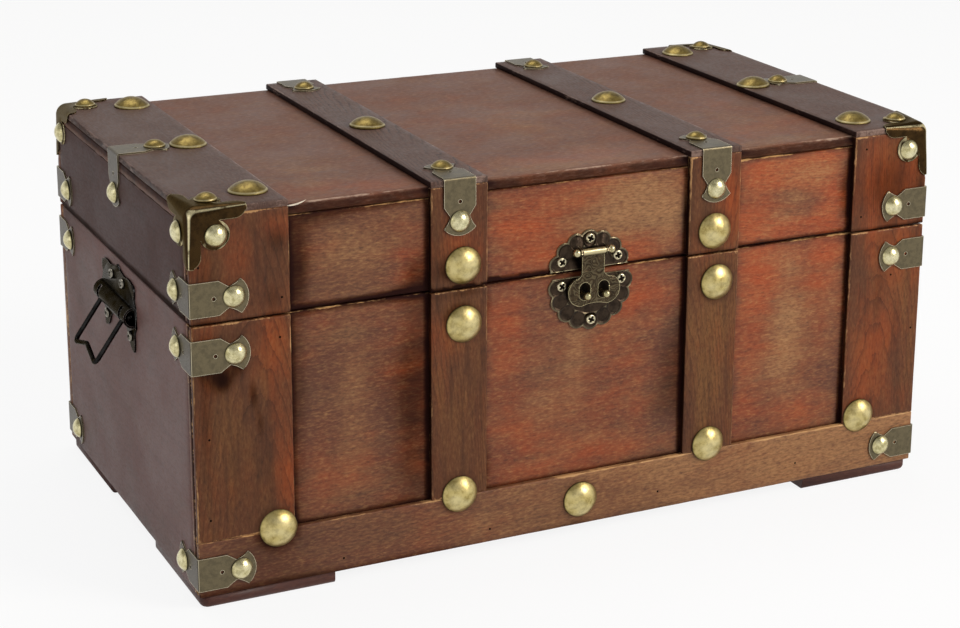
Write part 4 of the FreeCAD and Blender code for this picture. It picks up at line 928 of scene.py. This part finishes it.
# the brackets and corners take a painted highlight on their folds and painted shade on their faces
# that look to the chest's left end
bracket_brass = aged_metal("tumbled_antique_brass", "#E4DABC", "#6C624C", "#5C5442", 0.38,
                           0.5, 0.95, 3.0, fold_highlight=0.8, left_side_shade=0.62)
corner_brass = aged_metal("darkened_antique_brass", "#E6D8AA", "#3C2C18", "#2C2012", 0.30,
                          0.4, 0.55, 5, fold_highlight=0.8, left_side_shade=0.45, glance="#DAD2C2")
bright_brass = aged_metal("rubbed_brass", "#EFE6C8", "#C4BA94", "#9A9068", 0.22, 0.2, 0.5, 3)
handle_bronze = aged_metal("black_bronze", "#D6D3CE", "#2B2A29", "#1B1A19", 0.24,
                           0.30, 0.7, 4, glance="#B6B3AE")
handle_screw_steel = aged_metal("blackened_steel", "#E4DECE", "#8F897C", "#6A645A", 0.24,
                                cloud_mm=2)
hinge_brass = aged_metal("dull_hinge_brass", "#B5A882", "#5E5540", "#463F30", 0.42, 0.4, 0.7, 5)
bright_zinc = aged_metal("plated_steel", "#EFE9D6", "#D2C8A8", "#A89E80", 0.24, cloud_mm=2)
print("metal recipes are ready")


# %% [markdown]
# ## Finding the nails
#
# The construction model holds each group of nails as one mesh of loose triangles, so the nails
# are told apart by which points hang together. A nail's flattest direction is the one that it
# was driven in, and its foot is on the side nearer to the chest's middle.

# %% Separate solids of a node
def solids_of(node):
    """A node's separate solids, each as an array of points.

    Every point starts with its own number, and each edge hands the smaller number to both of
    its ends until nothing changes, so all points of one solid end with one number.
    """
    mesh = merged_copy(node)
    points = np.empty(len(mesh.vertices) * 3)
    mesh.vertices.foreach_get("co", points)
    ends = np.empty(len(mesh.edges) * 2, dtype=np.int64)
    mesh.edges.foreach_get("vertices", ends)
    bpy.data.meshes.remove(mesh)
    points, (a, b) = points.reshape(-1, 3), ends.reshape(-1, 2).T
    number, before = np.arange(len(points)), None
    while before is None or (number != before).any():
        before = number.copy()
        smaller = np.minimum(number[a], number[b])
        np.minimum.at(number, a, smaller)
        np.minimum.at(number, b, smaller)
        number = number[number]
    return [points[number == n] for n in np.unique(number)]


CHEST_MIDDLE = [0, 0, 0.092]


def seats(node):
    """Each round head of a node: the middle of its foot, its outward axis, radius and height."""
    found = []
    for points in solids_of(node):
        low, high = points.min(0), points.max(0)
        middle, extent = (low + high) / 2, high - low
        axis = int(np.argmin(extent))
        outward = np.zeros(3)
        outward[axis] = 1 if (middle - CHEST_MIDDLE)[axis] > 0 else -1
        foot = middle - outward * extent[axis] / 2
        found.append((foot, outward, np.delete(extent, axis).mean() / 2, extent[axis]))
    return found


print("nails point away from", CHEST_MIDDLE)


# %% Turning on a lathe
def turned(profile, segments):
    """Turn a profile about Z: each of its rows (radius, height) becomes a ring of points."""
    turn = np.arange(segments) * 2 * math.pi / segments
    radius, height = np.asarray(profile).T
    height = np.broadcast_to(height[:, None], (len(radius), segments))
    points = np.stack([radius[:, None] * np.cos(turn), radius[:, None] * np.sin(turn), height], -1)
    points = points.reshape(-1, 3)
    number = np.arange(len(points)).reshape(len(radius), segments)
    after = np.roll(number, -1, axis=1)
    faces = np.stack([number[:-1], after[:-1], after[1:], number[1:]], -1).reshape(-1, 4)
    return points, faces


def on_seat(points, foot, outward):
    """Stand a piece made about Z on its seat: its Z becomes the outward direction."""
    side = np.array([0.0, 0, 1]) if abs(outward[2]) < 0.5 else np.array([1.0, 0, 0])
    across = np.cross(side, outward)
    return foot + points[:, :1] * across + points[:, 1:2] * side + points[:, 2:] * outward


def gather(parts):
    """Join several (points, faces, fields) into one."""
    points, faces, fields, start = [], [], {}, 0
    for part_points, part_faces, part_fields in parts:
        points.append(part_points)
        faces.append(part_faces + start)
        start += len(part_points)
        for name, numbers in part_fields.items():
            fields.setdefault(name, []).append(numbers)
    joined = {name: np.concatenate(numbers) for name, numbers in fields.items()}
    return np.concatenate(points), np.concatenate(faces), joined


print("points on a turned cone:", len(turned([(2, 0), (1, 1)], 8)[0]))


# %% [markdown]
# ## Domed nails
#
# A domed nail is thin brass pressed over a die: a cap of a sphere with a short straight rim.
# No two are alike after the hammer, so each gets its own shallow dents and lean. A dark ring is
# painted round the foot, dirt with painted contact shade, and the crown is painted brighter than
# the skirt, as cleaned and aged metal and as a painted highlight and painted shade. The nails on
# the lid take a darker, browner copy of the brass, a painted shade, with a painted highlight on
# their rims.

# %% Nails
def domed_nail(radius, height, rim, segments, seed):
    """A cap of a sphere with shallow dents: height(r) = rim + sqrt(ball2 - r2) - (ball - rise)."""
    rise = height - rim
    ball = (radius ** 2 + rise ** 2) / (2 * rise)
    share = np.sin(np.linspace(math.pi / 2, 0, 15))
    cap = np.sqrt(ball ** 2 - (share * radius) ** 2) - (ball - rise) + rim
    profile = np.column_stack([np.r_[0, 0.97, 1, 1, share[1:]] * radius,
                               np.r_[0, 0, 0.1 * MM, rim, cap[1:]]])
    points, faces = turned(profile, segments)
    dent = (waves(points + seed * 0.01, 5 * MM, 3) * 0.055 * MM
            + waves(points + seed * 0.02, 11 * MM, 5) * 0.06 * MM)
    points[:, 2] += dent * (points[:, 2] > rim * 1.2)
    lean = np.random.default_rng(seed).normal(0, 0.018, 2)
    points[:, 2] += (points[:, :2] @ lean) * (points[:, 2] > rim * 0.5)
    reach = np.hypot(points[:, 0], points[:, 1]) / radius
    # a dark ring at the foot: dirt, and painted contact shade where the dome meets the wood
    grime = np.clip((reach - 0.955) / 0.045, 0, 1) * 0.85
    # the crown is painted brighter and the skirt darker in blotches: cleaned and aged metal, and a
    # painted highlight and painted shade for the dome's reflections
    skirt = np.clip((reach - 0.45) / 0.5, 0, 1) ** 2
    smudge = np.clip(0.5 + 0.9 * waves(points + seed * 0.013, 7 * MM, 9), 0, 1)
    return points, faces, {"grime": grime, "polish": 0.25 * (1 - skirt) * (1 - smudge),
                           "tarnish": 0.06 + 0.28 * skirt * smudge}


NAIL_SEGMENTS = 40


def drive_nails(node, body, rim, brass):
    """Stand a domed nail on each seat of a node; those on the lid's top take a darker copy of the
    brass, a painted shade, with a painted highlight on the rim.
    """
    groups = {False: [], True: []}
    for number, (foot, outward, radius, height) in enumerate(seats(node)):
        points, faces, fields = domed_nail(radius, height, rim * MM, NAIL_SEGMENTS, number + 1)
        on_top = bool(outward[2] > 0.5)
        if on_top:
            # on the lid: a painted highlight along the rim, and less of the dark ring at the foot
            reach = np.hypot(points[:, 0], points[:, 1]) / radius
            fields["polish"] = 0.7 * np.clip(1 - np.abs(reach - 0.955) / 0.035, 0, 1)
            fields["grime"] = fields["grime"] * 0.4
        groups[on_top].append((on_seat(points, foot, outward), faces, fields))
    for on_top, parts in groups.items():
        if parts:
            name = ("top_nails_" if on_top else "nails_") + node
            make_piece(name, *gather(parts), top_nail_brass if on_top else brass, body, (node,),
                       "stud_brass")
            print(name, len(parts), "nails")


for size, rim, brass in (("large", 0.5, nail_brass), ("small", 0.3, small_nail_brass)):
    for body in ("lid", "base"):
        drive_nails(body + "_" + size + "_studs", body, rim, brass)


# %% [markdown]
# ## Screws
#
# The latch, the handles and the hinges are held by small screws with a round, flattened head.
# The head is turned, and its recess is pressed in afterwards: a point sinks where it lies
# within either bar of the cross.

# %% Pan heads with a cross
def pan_head(radius, height, seed):
    """A flattened dome less a cross-shaped recess: height(r) = h * (1 - (r / R) ^ 3.5) ^ 0.5."""
    share = np.linspace(1, 0, 15)[1:]
    top = height * (0.25 + 0.75 * np.sqrt(1 - share ** 3.5))
    profile = np.column_stack([np.r_[0, 0.95, 1, 1, share] * radius,
                               np.r_[0, 0, 0.08 * MM, 0.25 * height, top]])
    points, faces = turned(profile, 48)
    angle = seed * 0.9
    x = (points[:, 0] * math.cos(angle) + points[:, 1] * math.sin(angle)) / radius
    y = (points[:, 1] * math.cos(angle) - points[:, 0] * math.sin(angle)) / radius
    near, far = np.minimum(np.abs(x), np.abs(y)), np.maximum(np.abs(x), np.abs(y))
    inside = np.clip((0.26 - near) / 0.08, 0, 1) * np.clip((0.70 - far) / 0.08, 0, 1)
    inside = inside * (points[:, 2] > 0.3 * height)
    points[:, 2] -= inside * 0.45 * height
    # the cross recess is darkened: dirt, and painted shade in the recess
    return points, faces, {"grime": np.clip(inside * 1.3, 0, 1)}


def turn_in_screws(node, body, material):
    """Stand a pan head on each seat of a node, each with its cross turned another way."""
    parts = []
    for number, (foot, outward, radius, height) in enumerate(seats(node)):
        points, faces, fields = pan_head(radius, height, number + 1)
        parts.append((on_seat(points, foot, outward), faces, fields))
    make_piece("screws_" + node, *gather(parts), material, body, (node,), "screw_steel")


turn_in_screws("latch_upper_screws", "lid", bright_zinc)
turn_in_screws("latch_lower_screws", "base", bright_zinc)
turn_in_screws("handle_screws", "base", handle_screw_steel)
turn_in_screws("hinge_lid_screws", "lid", hinge_brass)
turn_in_screws("hinge_base_screws", "base", hinge_brass)
print("screws are in")


# %% [markdown]
# ## The latch's skin
#
# The two latch plates are stamped with a ring of petals, and the hasp is engraved with leafy
# scrolls. On metal this thin the stamping is only a few tenths of a millimetre deep, so it is
# drawn as a height in the material. Each petal is a round bowl whose rim stands proud, and
# the scrolls follow the level lines of a smooth noise.

# %% Stamped petals
PETALS, PETAL_RING = 16, 17.4 * MM


def petals(centre_x, centre_z):
    """A rosette's ring of petals: the distance from the nearest petal's middle gives its relief."""
    def height(node, place):
        x, _, z = node("SeparateXYZ", place)
        x, z = [node("Math", part, centre * MM, **MINUS)[0]
                for part, centre in ((x, centre_x), (z, centre_z))]
        # the nearest petal stands at floor(angle / sector + 0.5) * sector
        sector = 2 * math.pi / PETALS
        angle = node("Math", z, x, operation="ARCTAN2")[0]
        turns = node("Math", node("Math", angle, sector, operation="DIVIDE")[0], 0.5, **PLUS)[0]
        own = node("Math", node("Math", turns, operation="FLOOR")[0], sector, **TIMES)[0]
        across = node("Math", angle, own, **MINUS)[0]
        # out and side run from that petal's middle, and gap = sqrt(out ^ 2 + side ^ 2)
        reach = node("Math", node("Math", x, x, **TIMES)[0],
                     node("Math", z, z, **TIMES)[0], **PLUS)[0]
        reach = node("Math", reach, operation="SQRT")[0]
        out, side = [node("Math", reach, node("Math", across, operation=turn)[0], **TIMES)[0]
                     for turn in ("COSINE", "SINE")]
        out = node("Math", out, PETAL_RING, **MINUS)[0]
        gap = node("Math", node("Math", out, out, **TIMES)[0],
                   node("Math", side, side, **TIMES)[0], **PLUS)[0]
        gap = node("Math", gap, operation="SQRT")[0]
        outside = node("MapRange", reach, 13.4 * MM, 14.4 * MM, **EASE)[0]
        # the rim stands proud, and its crest is brightened: rubbed metal with a painted highlight
        rim, crest = [node("Math", node("MapRange", gap, low * MM, high * MM, **EASE)[0], outside,
                           **TIMES)[0] for low, high in ((2.9, 4.0), (3.7, 4.2))]
        return node("Math", rim, 1.2, **TIMES)[0], node("Math", crest, 0.18, **TIMES)[0]
    return height


print("petals:", PETALS, "on a ring of", round(PETAL_RING / MM, 1), "mm")


# %% Engraving on the hasp
def scrolls(node, place):
    """Engraving on the hasp: the level lines of a smooth noise curl like leaves, cut 0.4 mm wide.

    The knuckle, where the hasp is rolled round its pin, is bare and bright.
    """
    # leaves stand 5.3 mm apart, and 1000 / 5.3 is about 190
    leaf = node("TexNoise", place, named={"Scale": 190, "Detail": 1, "Roughness": 0.4})[0]
    wave = node("Math", node("Math", leaf, 62, **TIMES)[0], operation="SINE")[0]
    knuckle = node("MapRange", node("SeparateXYZ", place)[2], 140.6 * MM, 141.2 * MM, **EASE)[0]
    flat = node("Math", 1, knuckle, **MINUS)[0]
    land, crest = [node("Math", node("MapRange", wave, low, high, **EASE)[0], flat, **TIMES)[0]
                   for low, high in ((-0.75, 0.1), (0.2, 0.9))]
    crest = node("Math", node("Math", crest, 0.1, **TIMES)[0],
                 node("Math", knuckle, 0.9, **TIMES)[0], **LARGER)[0]
    return node("Math", land, 0.45, **TIMES)[0], crest


plate_tones = ("#CDBE96", "#3E3329", "#2A221C", 0.34, 0.8, 0.9, 4)
upper_plate_brass = aged_metal("blackened_brass_upper", *plate_tones, relief=petals(2.5, 129.75))
lower_plate_brass = aged_metal("blackened_brass_lower", *plate_tones, relief=petals(3.5, 125.05))
hasp_brass = aged_metal("engraved_blackened_brass", "#C9BC92", "#4A3E2E", "#332A20", 0.34,
                        0.7, 0.9, 3, relief=scrolls)


print("finishes:", upper_plate_brass.name, lower_plate_brass.name, hasp_brass.name)


# %% Metal on the construction shapes
finishes = [
    ("latch_upper_plate", upper_plate_brass, "latch_brass"),
    ("latch_lower_plate", lower_plate_brass, "latch_brass"),
    ("latch_pin", bright_brass, "latch_brass"), ("latch_posts", bright_brass, "latch_brass"),
    ("hasp", hasp_brass, "latch_brass"), ("bracket", bracket_brass, "corner_brass"),
    ("corner_cap", corner_brass, "corner_brass"), ("handle", handle_bronze, "handle_bronze"),
    ("hinge", hinge_brass, "latch_brass"),
]
for node in frame["nodes"]:
    for word, material, slot in finishes:
        if word in node and "screws" not in node:
            copy_of(node, "metal_" + node, material, {})
            break


print("rows of finishes:", len(finishes))


# %% [markdown]
# ## Small marks
#
# The straps and the rail are also held by headless brads, which show as dark specks, and the
# top of the left strap has lost a splinter: a curl of pale, unstained wood still stands there.

# %% Brads and the splinter
brad_places = [(-184, 42.2), (-122.1, 12.2), (-48.9, 12.5), (41, 15), (119.9, 15.9),
               (-150.2, 122.4), (-183.5, 80), (172, 108), (186, 78)]
lid_brad_places = [(152.2, 140.3), (153.6, 174.5), (-148.9, 140.5), (-186, 158.5)]


def brads(name, places, body):
    """Dark discs 1.1 mm wide that stand 0.05 mm out of the front straps."""
    profile = np.array([(0, -0.3), (0.55, -0.3), (0.55, 0.03), (0.35, 0.05), (0, 0.02)]) * MM
    points, faces = turned(profile, 12)
    grime = {"grime": np.ones(len(points))}
    feet = [np.array([x * MM, chest_low[1], z * MM]) for x, z in places]
    discs = [(on_seat(points, foot, np.array([0, -1.0, 0])), faces, grime) for foot in feet]
    make_piece(name, *gather(discs), bright_zinc, body, (), "screw_steel")


def splinter():
    """A tapering sliver along a bent line: six-sided rings whose radius shrinks to a point."""
    count, sides = 14, 6
    t = np.linspace(0, 1, count)
    line = [-145.6 + 8.4 * t, -107 - np.sin(2.2 * t), 181.2 + 0.4 * t + 1.6 * t * t]
    line = np.stack(line, -1) * MM
    radius = 0.42 * MM * np.sin(np.pi * np.clip(0.12 + 0.88 * t, 0, 1)) ** 0.7
    turn = np.arange(sides) * 2 * math.pi / sides
    ring = np.stack([np.zeros(sides), np.cos(turn) * 0.5, np.sin(turn)], -1)
    points = (line[:, None, :] + radius[:, None, None] * ring[None]).reshape(-1, 3)
    number = np.arange(count * sides).reshape(count, sides)
    after = np.roll(number, -1, axis=1)
    faces = np.stack([number[:-1], number[1:], after[1:], after[:-1]], -1).reshape(-1, 4).tolist()
    faces += [number[0].tolist(), number[-1][::-1].tolist()]
    fields = {"edge_mm": 0, "darkness": -1, "redness": 0, "gilding": 1, "ring_mm": 0}
    make_piece("splinter", points, faces, fields, raw_wood, "lid", (), "strap_wood")


raw_wood = stained_wood("raw_pine", "X", "#D8C3A6", "#C8A98A", "#E2D2B8", "#8A6E58", "#F2E8D8")
brads("brads_base", brad_places, "base")
brads("brads_lid", lid_brad_places, "lid")
splinter()
print("brads:", len(brad_places) + len(lid_brad_places))
